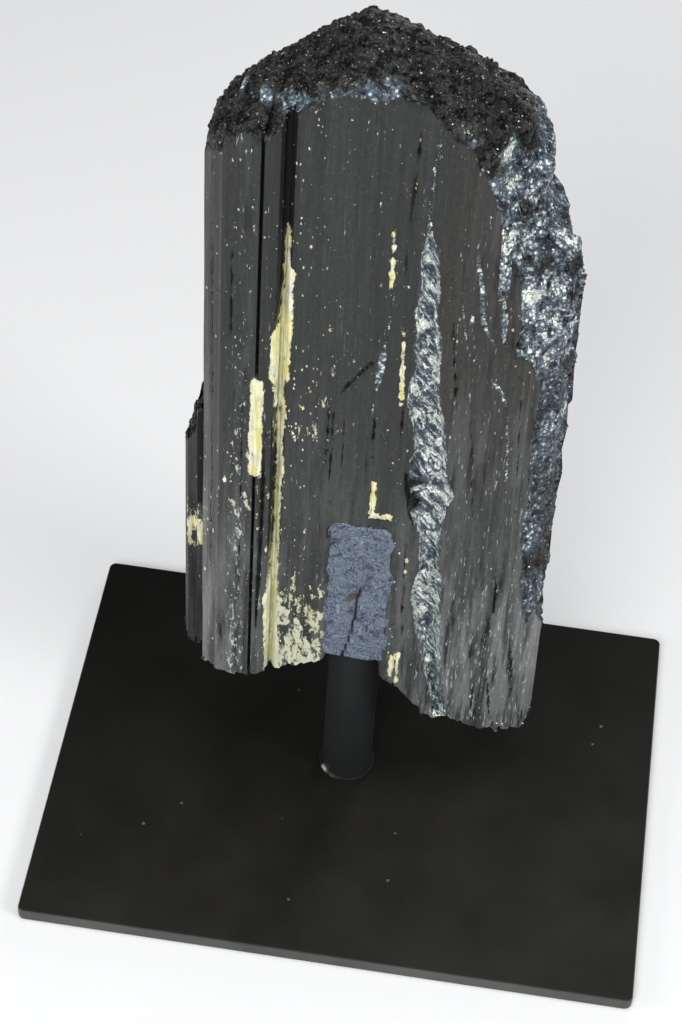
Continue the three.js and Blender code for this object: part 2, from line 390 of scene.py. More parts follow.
RIM_BY_X = [
    (-32, 162), (-30.5, 166), (-27.9, 168.5), (-25.2, 172), (-21.3, 169.5), (-17.6, 176.5),
    (-11.7, 180.5), (-4, 182.4), (3.4, 180.4), (8.8, 175.8), (13.2, 169), (16, 161),
    (17.2, 154), (18.8, 138), (20.3, 134), (24.5, 126), (28, 131), (30, 139), (31.6, 141),
]
BACK_RIM_DROP = 2.0
RIDGE_Y = 3
RIDGE_BY_X = [
    (-32, 164.5), (-29.6, 170.6), (-25.6, 174.8), (-21.8, 178), (-16.8, 181.8), (-12, 185.2),
    (-8, 187.4), (-4, 186.8), (1.7, 184.7), (8.3, 182.8), (12.5, 180.3), (15.6, 177.8),
    (20.1, 172.8), (23.4, 167), (25.1, 157.5), (26.5, 150), (28.5, 144.5), (33, 139),
]
FALL_IN_FRONT = 0.045
BACK_SLOPE = 0.9
BACK_BEND = 6
STEP_IN_BY_X = [(-32, 2.2), (8, 2.4), (14, 5), (20, 7), (26, 6.5), (33, 6)]
BACK_STEP_IN = 2.4
FOOT_BY_X = [
    (-32, 38), (-31.2, 36.5), (-28, 37.5), (-20, 39.2), (-13.6, 43), (-8.8, 45),
    (-5, 49), (-2, 50.2), (1.5, 49), (3.3, 44.5), (5.8, 42), (9.9, 35.5), (12, 31.9),
    (17, 29.7), (19, 27.2), (24, 24.6), (28, 21.7), (30, 21.2), (31.6, 23),
]
BACK_FOOT_BY_X = [(-32, 38), (-22, 35), (-4, 38), (14, 33), (26, 27), (31.6, 23)]
ROD_HOLLOW = 49.5
ROD_HOLLOW_SPREAD = 9
SPINE_Y = 9
SPINE_ENDS = (-14, 12)

COLUMNS = 210
ROWS = 186
TOP_STEPS = 46
FOOT_STEPS = 24


def along(corners, count):
    """Even points along a chain of corners, each corner kept, and their running length."""
    corners = np.array(corners, float)
    reach = np.concatenate([[0], np.cumsum(np.hypot(*np.diff(corners, axis=0).T))])
    stops = np.linspace(0, reach[-1], count + 1)
    lowest = 1
    for corner in reach[1:-1]:
        nearest = max(lowest, round(corner / reach[-1] * count))
        stops[nearest] = corner
        lowest = nearest + 1
    places = [np.interp(stops, reach, corners[:, axis]) for axis in (0, 1)]
    return np.stack(places, axis=-1), stops


def ring_of(front_corners, back_corners, count):
    """A closed outline, and how far round it each point lies, with the whole girth last."""
    front, front_reach = along(front_corners, count)
    back, back_reach = along(back_corners, count)
    reach = np.concatenate([front_reach[:-1], front_reach[-1] + back_reach])
    return np.concatenate([front[:-1], back[:-1]]), reach


def top_height(x, y):
    """Height of the broken top, which bends over the ridge and slopes away behind it."""
    past = y - RIDGE_Y
    behind = BACK_SLOPE * (np.hypot(past, BACK_BEND) - BACK_BEND)
    return read(RIDGE_BY_X, x) - np.where(past < 0, FALL_IN_FRONT * past**2, behind)


def flared(x, z):
    return x + FLARE * (MID_HEIGHT - z) * np.maximum(0, x / RIGHT_EDGE) ** 2


ring, reach = ring_of(FRONT_CORNERS, BACK_CORNERS, COLUMNS)
girth, reach = reach[-1], reach[:-1]
at_front = np.arange(len(ring)) <= COLUMNS
print("crystal girth", round(girth, 1), "mm in", len(ring), "columns")

# %% [markdown]
# ## Columns from foot to rim
# A column is measured by the millimetres walked from its foot, and its rows are shared out
# evenly over that walk, so steep breaks get as many points as plain faces. The rim and the
# foot are roughened first, because a break never stops at one height.

# %% Walk each column from its foot to its inner edge
def jagged(reach, seed, coarse, fine):
    line = np.stack([reach, np.zeros_like(reach), np.zeros_like(reach)], axis=-1)
    return coarse * soft(line, 4.0, seed) + fine * chips(line, 1.3, seed + 1, 0.3)


foot = np.where(at_front, read(FOOT_BY_X, ring[:, 0]), read(BACK_FOOT_BY_X, ring[:, 0]))
foot = foot + jagged(reach, 3, 0.5, 1.3)
rim = np.where(at_front, read(RIM_BY_X, ring[:, 0]), top_height(*ring.T) - BACK_RIM_DROP)
rim = rim + jagged(reach, 9, 1.0, 0.9)
step_in = np.where(at_front, read(STEP_IN_BY_X, ring[:, 0]), BACK_STEP_IN)
spine = np.stack([np.clip(ring[:, 0], *SPINE_ENDS), np.full(len(ring), SPINE_Y)], axis=-1)
towards = (spine - ring) / np.linalg.norm(spine - ring, axis=-1, keepdims=True)
inner = ring + towards * step_in[:, None]
inner_height = top_height(*inner.T)
wall_length = rim - foot
edge_length = np.hypot(step_in, inner_height - rim)

walk = np.linspace(0, 1, ROWS + 1)[None, :] * (wall_length + edge_length)[:, None]
climb = np.clip(walk / wall_length[:, None], 0, 1)
over = np.clip((walk - wall_length[:, None]) / edge_length[:, None], 0, 1)
walls = np.empty(walk.shape + (3,))
walls[..., :2] = ring[:, None] + (inner - ring)[:, None] * over[..., None]
walls[..., 2] = foot[:, None] + wall_length[:, None] * climb
walls[..., 2] += (inner_height - rim)[:, None] * over ** 0.8
past_rim = walk - wall_length[:, None]
print("columns are", np.round(walk[:, -1].min()), "to", np.round(walk[:, -1].max()), "mm long")

# %% [markdown]
# ## Closing a stone
# All three stones are closed in the same way: a lid's rows run from a front column to the
# back column that faces it, and shrink to a corner at both ends.

# %% Turn columns into a closed stone
def close_stone(name, walls, top, bottom, top_steps, foot_steps):
    """A mesh object from columns of points, closed by two lids."""
    count, rows = walls.shape[:2]
    half = count // 2
    grid = np.arange(count * rows).reshape(count, rows)
    following = np.roll(grid, -1, axis=0)
    sides = np.stack([grid[:, :-1], following[:, :-1], following[:, 1:], grid[:, 1:]], axis=-1)
    faces = sides.reshape(-1, 4).tolist()
    points = [walls.reshape(-1, 3)]
    start = count * rows
    facing = (count - np.arange(half + 1)) % count
    for lid, row, steps in ((top, rows - 1, top_steps), (bottom, 0, foot_steps)):
        share = (np.arange(1, steps) / steps)[None, :, None]
        front_edge, back_edge = walls[1:half, row], walls[facing[1:half], row]
        inside = front_edge[:, None] + (back_edge - front_edge)[:, None] * share
        inside[..., 2] = lid(inside, share[..., 0])
        points.append(inside.reshape(-1, 3))
        index = np.empty((half + 1, steps + 1), int)
        index[:, 0] = grid[: half + 1, row]
        index[:, steps] = grid[facing, row]
        index[1:half, 1:steps] = start + np.arange((half - 1) * (steps - 1)).reshape(half - 1, -1)
        index[0], index[half] = grid[0, row], grid[half, row]
        start += (half - 1) * (steps - 1)
        lids = np.stack([index[:-1, :-1], index[1:, :-1], index[1:, 1:], index[:-1, 1:]], axis=-1)
        for face in lids.reshape(-1, 4).tolist():
            face = list(dict.fromkeys(face))
            faces.append(face if row else face[::-1])
    return add_mesh(name, np.concatenate(points), faces)


def gathered(items, name, kind=float, width=1):
    """One property of every item, in an array."""
    values = np.empty(len(items) * width, kind)
    items.foreach_get(name, values)
    return values if width == 1 else values.reshape(-1, width)


def points_of(piece):
    """Points and outward directions of a mesh, in millimetres."""
    places = gathered(piece.data.vertices, "co", width=3)
    return places / MM, gathered(piece.data.vertex_normals, "vector", width=3)


def move_points(piece, places):
    piece.data.vertices.foreach_set("co", (places * MM).ravel())
    piece.data.update()


def store(piece, **marks):
    """Keep numbers at each point, under the names that the shader reads."""
    zeros = np.zeros(len(piece.data.vertices))
    for name, values in marks.items():
        layer = piece.data.attributes.new(name, "FLOAT", "POINT")
        layer.data.foreach_set("value", values + zeros)


def crystal_top(points, share):
    return top_height(points[..., 0], points[..., 1])


def crystal_foot(points, share):
    """A low arch over the rod, between the feet of the front and back columns."""
    even = points[..., 2]
    to_rod = np.hypot(points[..., 0] - rod_centre[0], points[..., 1] - rod_centre[1])
    arch = np.maximum(0, ROD_HOLLOW - even) * np.exp(-((to_rod / ROD_HOLLOW_SPREAD) ** 2))
    return even + np.sin(np.pi * share) * arch


crystal = close_stone("crystal_body", walls, crystal_top, crystal_foot, TOP_STEPS, FOOT_STEPS)
print("crystal", len(crystal.data.vertices), "points")

# %% [markdown]
# ## Where the stone is broken, and where crust has grown
# Most marks follow the growth of the stone, so they are bands and slivers up a face. Their
# edges and middle lines are read by height, from tables of (height, x).

# %% Trace the breaks and slivers
STRIP_LEFT = [
    (28, 14.7), (35, 13.5), (40, 12.7), (45, 11.7), (51, 10.8), (58, 9.6), (63, 8.2), (68, 7.7),
    (73, 8.4), (84, 8.4), (91, 6.4), (100, 5.6), (106, 5.8), (114, 5.2), (118, 4.1), (122, 4),
    (126, 4.9), (133, 4.6), (140, 4.1), (151, 4.2), (159, 4.8),
]
STRIP_RIGHT = [
    (28, 16.9), (35, 15.8), (45, 14.6), (50, 14.3), (58, 13.4), (68, 13), (73, 12.7), (80, 12.3),
    (91, 12.8), (95, 13.6), (99, 12), (106, 11.6), (114, 10.3), (118, 9.4), (126, 8.8), (133, 8.5),
    (140, 7.2), (144, 7.9), (151, 7.4), (154, 6.7), (159, 5),
]
BREAK_EDGE = [
    (45, 33.6), (51, 30.4), (57, 29.2), (65, 27.9), (74, 27.2), (85, 25.5), (95, 26), (108, 25.6),
    (116, 25.6), (124, 24.5), (128, 22), (131, 19.6), (137, 18.5), (142, 17.7), (151, 16.9),
    (157, 16.6), (163, 15.4), (169, 13.4), (176, 8.8), (190, 5),
]
BACK_BREAK_X = 27.5
BACK_BREAK_Z = 45
BACK_BREAK_IN = 3.0
LID_BREAK_IN = 8.0
# The silver slivers are thin breaks whose brightness is painted sheen
SHEEN_SLIVERS = [  # half its width, then its route as (height, x)
    (0.2, [(128, 13.6), (135, 12.5), (143, 11.2)]),
    (0.16, [(126, 15.2), (133, 14), (140, 12.6)]),
    (0.46, [(129, 18.6), (132.5, 16.9), (137, 15.2), (145, 14.3), (154, 13.2)]),
    (0.8, [(133, 19.2), (137, 19.2), (142, 19), (150, 18)]),
    (0.45, [(115, 20.8), (119, 20), (121, 18.9), (124, 17.2)]),
    (0.24, [(92, 22.4), (100, 22), (108, 21.5), (116, 20.6)]),
    (0.16, [(127, -0.5), (133, -0.1), (144, 0.5)]),
    (0.62, [(119.5, -1.4), (123, -1), (127, -0.7), (132, -0.3)]),
    (0.14, [(112, -1.9), (120, -1.2)]),
    (0.2, [(154, 4.8), (160, 4.9), (166, 5), (173, 5.3), (179, 5.5)]),
]
SOUND_WEDGE = [(1.1, [(126, 20.6), (134, 20.8), (141, 20.2), (149, 18.9)])]
# Dark slivers are cracks and crevices; their darkness is partly painted shade
DARK_SLIVERS = [
    (0.34, [(57.5, 23.1), (63, 22.7), (67, 22.9), (71.5, 22.2)]),
    (0.16, [(84, 17.6), (96, 16.6), (108, 15.6), (120, 14.3)]),
    (0.18, [(112, 13), (128, 11.2), (143, 9.8)]),
    (0.22, [(103, 4), (112, 3.6), (122, 3.1), (133, 2.4)]),
    (0.55, [(86, 7.4), (91, 6.4), (96, 5.6), (101, 4.9)]),
    (0.22, [(33, 27.8), (42, 27), (52, 26.2)]),
    (0.26, [(26, 24.6), (36, 23.6), (43, 22.9)]),
    (0.16, [(84, 24.6), (100, 23.9), (118, 23), (126, 21.4)]),
    (0.18, [(48, 7.6), (64, 6.6), (76, 6.3), (88, 6)]),
    (0.4, [(46, -20.6), (60, -20.2), (80, -19.9), (96, -19.8), (113, -19.6)]),
    (0.16, [(58, -7.9), (74, -8), (88, -7.8)]),
    (0.36, [(117.4, -8.2), (119, -7), (121, -5.9), (123, -4.7), (125, -3.5), (128, -1.3)]),
    (0.16, [(98, -6.3), (108, -6.1), (118, -6.5)]),
    (0.2, [(94, -8.3), (106, -8), (116.5, -8.3)]),
    (0.22, [(98, -0.9), (108, -1), (118.5, -1.5)]),
    (0.14, [(120, -26), (140, -26.2), (159, -25.9), (170, -26.1)]),
    (0.16, [(40, -29.6), (90, -29.5), (140, -29.7), (166, -29.6)]),
    (0.12, [(40, -24), (80, -23.8), (130, -23.9)]),
    (0.14, [(90, -9.2), (110, -9), (126, -9.1)]),
    (0.14, [(86, -2.2), (104, -2), (119, -2.3)]),
    (0.12, [(130, 2.2), (150, 2), (176, 2.6)]),
    (0.16, [(148, 1.5), (164, 2), (182, 2.6)]),
]
print(len(SHEEN_SLIVERS), "silver slivers and", len(DARK_SLIVERS), "dark ones")

# %% [markdown]
# ## Distances into the marks
# Each mark is kept as a distance in millimetres, positive inside it and negative outside. A
# distance serves twice: to carve the relief here, and to cut a crisp, ragged edge in the
# shader.

# %% Measure the breaks and slivers
OUTSIDE = -9


def band(x, z, left, right):
    """Distance into an upright band whose edges are read by height."""
    inside = np.minimum(x - read(left, z), read(right, z) - x)
    return np.minimum(inside, np.minimum(z - left[0][0], left[-1][0] - z))


def bar(x, z, left, right, lowest, highest):
    """Distance into an upright rectangle."""
    across = np.minimum(x - left, right - x)
    return np.minimum(across, np.minimum(z - lowest, highest - z))


def slivers(x, z, routes):
    """Distance into the nearest of some thin upright marks that taper at both ends."""
    inside = np.full_like(x, OUTSIDE)
    for half, route in routes:
        low, high = route[0][0], route[-1][0]
        taper = np.clip(np.minimum(z - low, high - z) / (0.25 * (high - low)), -1, 1)
        inside = np.maximum(inside, half * taper - np.abs(x - read(route, z)))
    return inside


places, outwards = points_of(crystal)
wall_count = walls.shape[0] * walls.shape[1]
top_count = (COLUMNS - 1) * (TOP_STEPS - 1)
on_wall = np.arange(len(places)) < wall_count
on_top = (~on_wall) & (np.arange(len(places)) < wall_count + top_count)
on_foot = ~(on_wall | on_top)
column = np.arange(len(places)) // (ROWS + 1) * on_wall
x, y, z = places.T
front_side = on_wall & at_front[column]
back_side = on_wall & ~front_side

ragged = 1.1 * soft(places, 4.5, 21) + 0.6 * soft(places, 1.6, 22)
broken_rim = np.full(len(places), LID_BREAK_IN)
broken_rim[:wall_count] = past_rim.ravel()
tongues = soft(np.stack([x, y, z / 6], axis=-1), 1.5, 23)
strip = np.where(front_side, band(x, z, STRIP_LEFT, STRIP_RIGHT), OUTSIDE)
strip = strip + 0.35 * ragged + 0.35 * tongues
right_break = np.where(front_side, x - read(BREAK_EDGE, z) + 1.3 * tongues, OUTSIDE)
behind_edge = back_side & (x > BACK_BREAK_X) & (z > BACK_BREAK_Z)
right_break = np.where(behind_edge, BACK_BREAK_IN, right_break)
silver_line = np.where(front_side & (broken_rim < 0), slivers(x, z, SHEEN_SLIVERS), OUTSIDE)
dark_line = np.where(front_side, slivers(x, z, DARK_SLIVERS), OUTSIDE)
broken = np.maximum(np.maximum(broken_rim, right_break) + 0.5 * ragged, strip)
wedge = np.where(y < 4, slivers(x, z, SOUND_WEDGE) + 0.2 * tongues, OUTSIDE)
broken = np.minimum(broken, np.where(wedge > -2, -2 * wedge, broken))
print("share of broken points", round(float(np.mean(broken > 0)), 2))

# %% [markdown]
# ## Carving the crystal
# Growth leaves flat-topped ribs of uneven width, so the faces are ribbed by steps in place
# of waves. The top has crumbled to pebbles, the right shoulder has split into blocks, and
# the long scar down the front is feathered by slanting chips.

# %% Ribs, chips, pebbles and the slot
RIB_BY_X = [
    (-32, 0.16), (-28, 0.12), (-24, 0.15), (-22, 0.12), (-16, 0.09), (-6, 0.08), (3, 0.1),
    (9, 0.16), (14, 0.24), (24, 0.28), (32, 0.22),
]
BACK_RIB = 0.26
STRIP_DEPTH = 1.0
BREAK_DEPTH = 0.9
DARK_DEPTH = 0.7
SHOULDER_HEIGHT = 145
SLOT_ROUND = 2.6


def ribs(reach, z, pitch, seed):
    """Steps of uneven width, each fading in and out over the height."""
    draw = np.random.default_rng(seed)
    edges = np.cumsum(draw.uniform(0.35, 1.65, int(2 * girth / pitch)) * pitch)
    levels = draw.uniform(-1, 1, len(edges) + 1)
    which = np.searchsorted(edges, reach)
    lane = np.stack([which * 31.7, np.zeros_like(z), z], axis=-1)
    return levels[which] * ramp(soft(lane, 34, seed + 1), -0.6, 0.1)


def slab_inside(x, z, left, right, top):
    """Distance into an upright slab whose two top corners are round."""
    corner_x = np.maximum(np.abs(x - (left + right) / 2) - ((right - left) / 2 - SLOT_ROUND), 0)
    corner_z = np.maximum(z - (top - SLOT_ROUND), 0)
    return SLOT_ROUND - np.hypot(corner_x, corner_z)


rib_height = np.where(front_side, read(RIB_BY_X, x), BACK_RIB)
ribbing = np.zeros_like(z)
for share, pitch, seed in ((1.0, 2.6, 5), (0.7, 1.1, 6), (0.5, 0.8, 8), (0.3, 3.9, 7)):
    ribbing += share * rib_height * ribs(reach[column], z, pitch, seed)
on_break = ramp(broken, -0.15, 0.6)
swell = 1.3 * soft(places, 9, 31) + 0.6 * soft(places, 4.2, 32)
rubble = 0.8 * swell + 0.6 * chips(places, 5.5, 41) + 1.1 * pebbles(places, 4.2, 50)
rubble += 0.8 * pebbles(places, 2.3, 44) + 0.8 * pebbles(places, 1.4, 45) - 1.7
blocks = 0.8 * swell + 1.3 * chips(places, 6.0, 46) + 0.6 * chips(places, 2.8, 42)
blocks = np.clip(blocks, -1.6, 1.0) + 0.8 * pebbles(places, 1.5, 49) - 0.6
gravel = soft(places, 3.5, 34) + chips(places, 2.4, 35) + pebbles(places, 1.3, 36)
blocks += (0.5 * gravel - blocks) * ramp(z, 128, 118)
uphill, across = x * 0.6 + z * 0.8, x * 0.8 - z * 0.6
slanting = np.stack([0.2 * uphill, y, across], axis=-1)
feather = 0.5 * soft(places, 6, 33) - 0.3
feather += 0.8 * chips(slanting, 2.2, 47) + 0.25 * chips(slanting, 1.0, 48)
in_blocks = ramp(x, 10, 16) * ramp(174 - z, 0, 8)
break_relief = rubble + (blocks - rubble) * in_blocks
in_strip = ramp(strip - right_break, -1, 1) * ramp(strip, -0.6, 0.2)
break_relief += (feather - break_relief) * in_strip

carve = on_break * break_relief
carve += on_break * (0.5 * ramp(z, 146, 152) - 1.0 * near(x, 6, 6) * (y > 6))
carve += on_wall * (1 - on_break) * ribbing
carve -= front_side * STRIP_DEPTH * ramp(strip, 0, 1.0)
carve -= on_wall * BREAK_DEPTH * ramp(right_break, 0, 1.4) * (z < SHOULDER_HEIGHT)
carve -= (1 - on_break) * DARK_DEPTH * ramp(dark_line + 0.3 * soft(places, 1.3, 52), 0, 0.4)
carve = np.where(on_foot, 0.7 * rubble, carve)
print("deepest carving", round(carve.min(), 2), "proudest", round(carve.max(), 2))

# %% [markdown]
# ## Crust, slot and shoulder
# Crust is a thin skin in upright bands. Inside the slot all carving is wiped out and the
# stone is pushed back. The right shoulder has lost a slab, so its points shift sideways:
# pushing them along their own directions would fold the surface over itself.

# %% Raise the crust and press in the slot
CRUST_THICK = 0.3
GROOVE_X = -21.45
CRUST_LEFT = [
    (41, -18.3), (52, -18.7), (62, -19), (68, -18.3), (80, -18), (98, -17.8), (112, -18.2),
    (119, -18.5), (121, -19.3), (131, -19), (133, -18.2), (140, -17.8), (153, -17.5),
]
CRUST_RIGHT = [
    (41, -15.7), (52, -16.1), (68, -16.7), (80, -16.5), (90, -16.7), (98, -16.3), (104, -16.8),
    (112, -16.3), (117, -17.2), (120, -16.2), (128, -16), (144, -15.9), (147, -16.6), (153, -16.8),
]
GROOVE_FILL = 1.1
SLOT_DEPTH = 2.6
SLOT_OVERLAP = 0.9
SLOT_BLEND = 0.25
SHOULDER_SHIFT = 0.3, 3.3
CRUST_BARS = [  # left, right, lowest, highest; the first fills the second groove
    (-22.5, -20.3, 95.6, 119.8), (-0.75, 0.05, 89.4, 98), (-0.6, 3.2, 88.6, 89.8),
    (-0.45, 0, 144, 157), (5.3, 5.85, 43.5, 50), (6.5, 7.05, 41.5, 51),
]
LEANING_BAR = 2.3, 2.75, 118, 135
LEAN = 0.035

crusts = [bar(x, z, *sides) for sides in CRUST_BARS]
crusts.append(bar(x - LEAN * (LEANING_BAR[3] - z), z, *LEANING_BAR))
in_groove = crusts[0]
crusts.append(band(x, z, CRUST_LEFT, CRUST_RIGHT))
crust = np.where(front_side, np.max(crusts, axis=0), OUTSIDE)
crust_ragged = crust + 0.35 * soft(places, 0.9, 51)
carve += CRUST_THICK * ramp(crust_ragged, -0.1, 0.2)
carve += GROOVE_FILL * near(x, GROOVE_X, 0.3) * ramp(in_groove, -0.2, 0.2)

in_slot = slab_inside(x, z, slot_low[0], slot_high[0], slot_high[2])
in_slot = np.where(front_side & (y < 0), in_slot, OUTSIDE)
pressed = ramp(in_slot, SLOT_OVERLAP - SLOT_BLEND, SLOT_OVERLAP + SLOT_BLEND)
carve *= 1 - pressed

places = places + outwards * carve[:, None]
places[:, 1] += SLOT_DEPTH * pressed
places[:, 0] = flared(places[:, 0], z)
least, most = SHOULDER_SHIFT
shoulder = least + (most - least) * ramp(x, 18, 26)
shoulder *= ramp(x, 4, 10) * ramp(z, 145.5, 149.5) * (1 - 0.5 * near(z, 164.5, 4.5))
places[:, 0] -= shoulder
move_points(crystal, places)
print("slot covers", int(np.sum(pressed > 0.5)), "points; shoulder moved", round(shoulder.max(), 1))

# %% [markdown]
# ## How much painted sheen each break gets
# The silvery colour of a break is painted reflection: it stands in for the light that its
# grains mirror, and the dull top gets little of it. The painted sheen follows the rim, the
# scar and the shoulder, with painted highlight spots, and a few spots painted darker.

# %% Work out the painted sheen
# Each spot is a painted highlight on one bright block, or painted shade where it is negative
SHEEN_SPOTS = [  # x, y, height, how wide, how tall, how much brighter
    (15.5, 0, 170.2, 1.5, 1.3, 1.8), (16, 1, 165.2, 1.1, 1.5, 1.2), (17.6, 1, 162.4, 0.8, 2.4, 0.8),
    (15.4, -2, 156.8, 1, 1.6, 0.5), (19.4, 1, 153.6, 2.2, 1.2, 0.7), (17, -1, 151.5, 1.6, 1.4, 0.5),
    (23.2, 0, 140, 2.4, 1.4, 1.5), (24.8, 2, 142.4, 1.6, 1, 0.7), (21, 2, 157.3, 1.8, 1.4, -0.35),
    (21.8, 1, 147.7, 1.5, 0.8, -0.6), (25.2, 3, 146, 1.3, 0.9, -0.5), (23.6, 4, 165, 2.2, 5, -0.1),
    (29.4, 6, 139, 1.6, 4.5, -0.6), (25, 3, 151.5, 2.4, 1.3, 0.35), (-22, -3, 176.4, 1.4, 0.9, 0.6),
    (-16, -5, 177.4, 3.4, 1.8, 1.05), (-20.4, -7, 170.4, 0.9, 1, 0.9), (-26.2, 2, 174, 1.1, 1, 0.6),
    (-3.5, -6, 183.6, 3, 1.6, 0.45), (2.6, -5, 182.2, 2.5, 1.2, 0.2),
    (-9.6, -6, 181, 2.4, 0.9, 0.15), (9.6, -6, 176, 1.6, 2.4, 0.25),
]
SPOT_DEPTH = 3.5
BRIGHTEST_SHEEN = 1.7
STRIP_SHEEN = [(28, 0.9), (48, 1.1), (60, 1.06), (84, 0.98), (100, 1), (130, 0.95), (158, 0.8)]

rim_band = ramp(4.5 - broken_rim, 0, 3.5) * at_front[column]
on_shoulder = ramp(x, 9, 17) * ramp(174 - z, 0, 12) * (y < 20)
silver = 0.08 + 0.26 * rim_band * ramp(soft(places, 3.4, 62), -0.3, 0.5)
silver += on_shoulder * (0.58 + 0.36 * soft(places, 3.4, 63) + 0.2 * soft(places, 1.6, 64))
for spot_x, spot_y, spot_z, wide, tall, brighter in SHEEN_SPOTS:
    in_spot = near(x, spot_x, wide) * near(y, spot_y, SPOT_DEPTH) * near(z, spot_z, tall)
    silver += brighter * in_spot
silver = np.where((z < 122) & (x > 20), 0.48 + 0.25 * soft(places, 6, 61), silver)
silver += (read(STRIP_SHEEN, z) - silver) * ramp(strip, -0.8, -0.2)
# Painted shade: the sheen is taken down in a hollow left of the scar
hollow_shade = near(x, 5.9, 2.7) * near(z, 96, 8) * (0.8 + 0.8 * soft(places, 1.4, 65))
silver -= 1.3 * hollow_shade * front_side * (strip > -1)
# The slivers get a fixed painted sheen
silver = np.where(silver_line > -0.3, 0.75, silver)
silver = np.where(back_side, 0.34 + 0.3 * ramp(x, 22, 27) * ramp(z, 120, 140), silver)
print("brightest silver", round(silver.max(), 2))

# %% [markdown]
# ## Numbers for the crystal's finish
# The shader also needs to know where pale flecks gather, which faces look brown, scratched
# or hazed, where the rounded left edge gets a painted sheen, where bands of painted shade
# darken the face, and which grooves are so deep that no light comes back, so they are
# painted as shade.

# %% Store the finish numbers
# Painted shade: where this is low, the face colour is taken towards near black, in bands beside the
# grooves, the dark splits and the scar's left edge
SHADE_BY_X = [  # x, and how much of the face's own colour shows there
    (-32, 1), (-30, 1), (-29.4, 0.55), (-28.4, 0.5), (-27.6, 0.8), (-26.5, 1), (-22.2, 1),
    (-21, 0.7), (-18.6, 0.4), (-16.9, 0.9), (-14, 1), (-1.5, 1), (0, 0.75), (2, 0.7),
    (3.5, 0.95), (8, 0.85), (16, 1), (32, 1),
]

fleck = 0.2 + 0.2 * soft(places, 9, 71)
fleck += 0.95 * ramp(-x, 5, 9) * ramp(z, 76, 58) * (x > -18.5)
fleck += 0.12 * ramp(-x, 19, 22) * ramp(z, 112, 80)
fleck += 0.35 * near(x, -24.6, 1.0) * ramp(z, 140, 125) + 0.25 * near(x, -22.8, 0.7)
fleck += 0.4 * near(x, -8 + (z - 121) * 0.5, 4.5) * near(z, 112, 24)
fleck += 0.22 * near(x, 5.5, 2.5) * near(z, 72, 26) + 0.15 * near(x, -2, 12) * near(z, 160, 14)
fleck = np.where(front_side & (x < 7), fleck, np.where(front_side, 0.1, 0.14))
scratch = 0.25 + 0.35 * ramp(x, 6, 12) + 0.12 * ramp(x, 9, 15)
scratch += 0.25 * ramp(z, 110, 40) + 0.12 * ramp(z, 85, 55)
scratch += 0.7 * near(x, -24.2, 1.6) + 0.4 * near(x, -19.8, 0.7)
scratch = np.where(front_side, scratch, 0.2)
warm = ramp(x, 6, 10) * ramp(z, 70, 130) + 0.6 * ramp(-x, 26, 28.5)
warm = np.where(front_side, warm, 0.4)
haze = ramp(z, 130, 45) + 1.6 * ramp(x, 8, 18) * ramp(z, 84, 36)
haze += 0.6 * ramp(-x, 21, 25) * ramp(z, 90, 50)
haze += 2.0 * ramp(x, 28.8, 30.0) * ramp(z, 84, 70)
# The last term is a painted sheen: the rounded left edge is made paler
haze = np.where(front_side, haze, 0.3) + 0.6 * ramp(-x, 29.8, 30.4)
wander = 0.4 * soft(np.stack([x, y, z / 9], axis=-1), 2.5, 73)
# The lower left is kept brighter
tone = read(SHADE_BY_X, x + wander) + 0.3 * ((z < 75) & (x < -16))
tone = np.where(front_side, tone, 1.0)
# Painted shade: the two grooves, and the slot behind the putty, are marked to be painted near black
top_widening = 0.55 * ramp(z, 146, 156)
groove_shade = 0.55 + top_widening - np.abs(x + 18.1 - top_widening)
groove_shade = np.maximum(0.27 - np.abs(x - GROOVE_X), groove_shade)
groove_shade = np.where(crust > -0.3, OUTSIDE, groove_shade)
dark = np.where(front_side & (y < 0), np.maximum(dark_line, groove_shade), dark_line)
dark = np.where(pressed > 0.5, 0.5, dark)
store(
    crystal,
    broken=np.maximum(broken, silver_line),
    silver=np.clip(silver, 0, BRIGHTEST_SHEEN),
    crust=crust_ragged,
    fleck=fleck,
    scratch=scratch,
    warm=warm + 0.15 * soft(places, 20, 72),
    haze=haze,
    dark=dark,
    feathered=in_strip,
    tone=tone,
)
print("dark share of the front", round(float(np.mean(dark[front_side] > 0)), 3))

# %% [markdown]
# ## The side crystal
# A thinner crystal has grown onto the left edge. It reaches about half as high and ends in
# small broken steps. It is one with the large crystal, and shares its finish.

# %% Build the side crystal
SIDE_FRONT = [(-36.9, 11.2), (-35.6, 5.6), (-34, 5.9), (-33.6, 5), (-31.8, 4.8), (-27.5, 8)]
SIDE_BACK = [(-27.5, 8), (-27.5, 14), (-33, 15.6), (-36.9, 11.2)]
SIDE_TOP_BY_X = [(-36.9, 84), (-35.9, 88), (-34.9, 91), (-34.2, 93), (-33.9, 97.5), (-27.5, 100)]
SIDE_FOOT = 30.5
SIDE_COLUMNS = 44
SIDE_ROWS = 110
SIDE_LID_STEPS = 14
SIDE_PITCH = 0.45


def upright(ring, foot, rim, rows):
    """Straight columns over an outline, each from its own foot to its own rim."""
    walls = np.empty((len(ring), rows + 1, 3))
    walls[..., :2] = ring[:, None]
    walls[..., 2] = foot[:, None] + (rim - foot)[:, None] * np.linspace(0, 1, rows + 1)
    return walls


side_ring, _ = ring_of(SIDE_FRONT, SIDE_BACK, SIDE_COLUMNS)
side_reach = np.arange(len(side_ring)) * SIDE_PITCH
side_foot = SIDE_FOOT + jagged(side_reach * 1.5, 83, 0.9, 1.2)
side_rim = read(SIDE_TOP_BY_X, side_ring[:, 0]) + jagged(side_reach * 1.5, 85, 0.8, 1.4)
side_walls = upright(side_ring, side_foot, side_rim, SIDE_ROWS)


def level_lid(points, share):
    return points[..., 2]


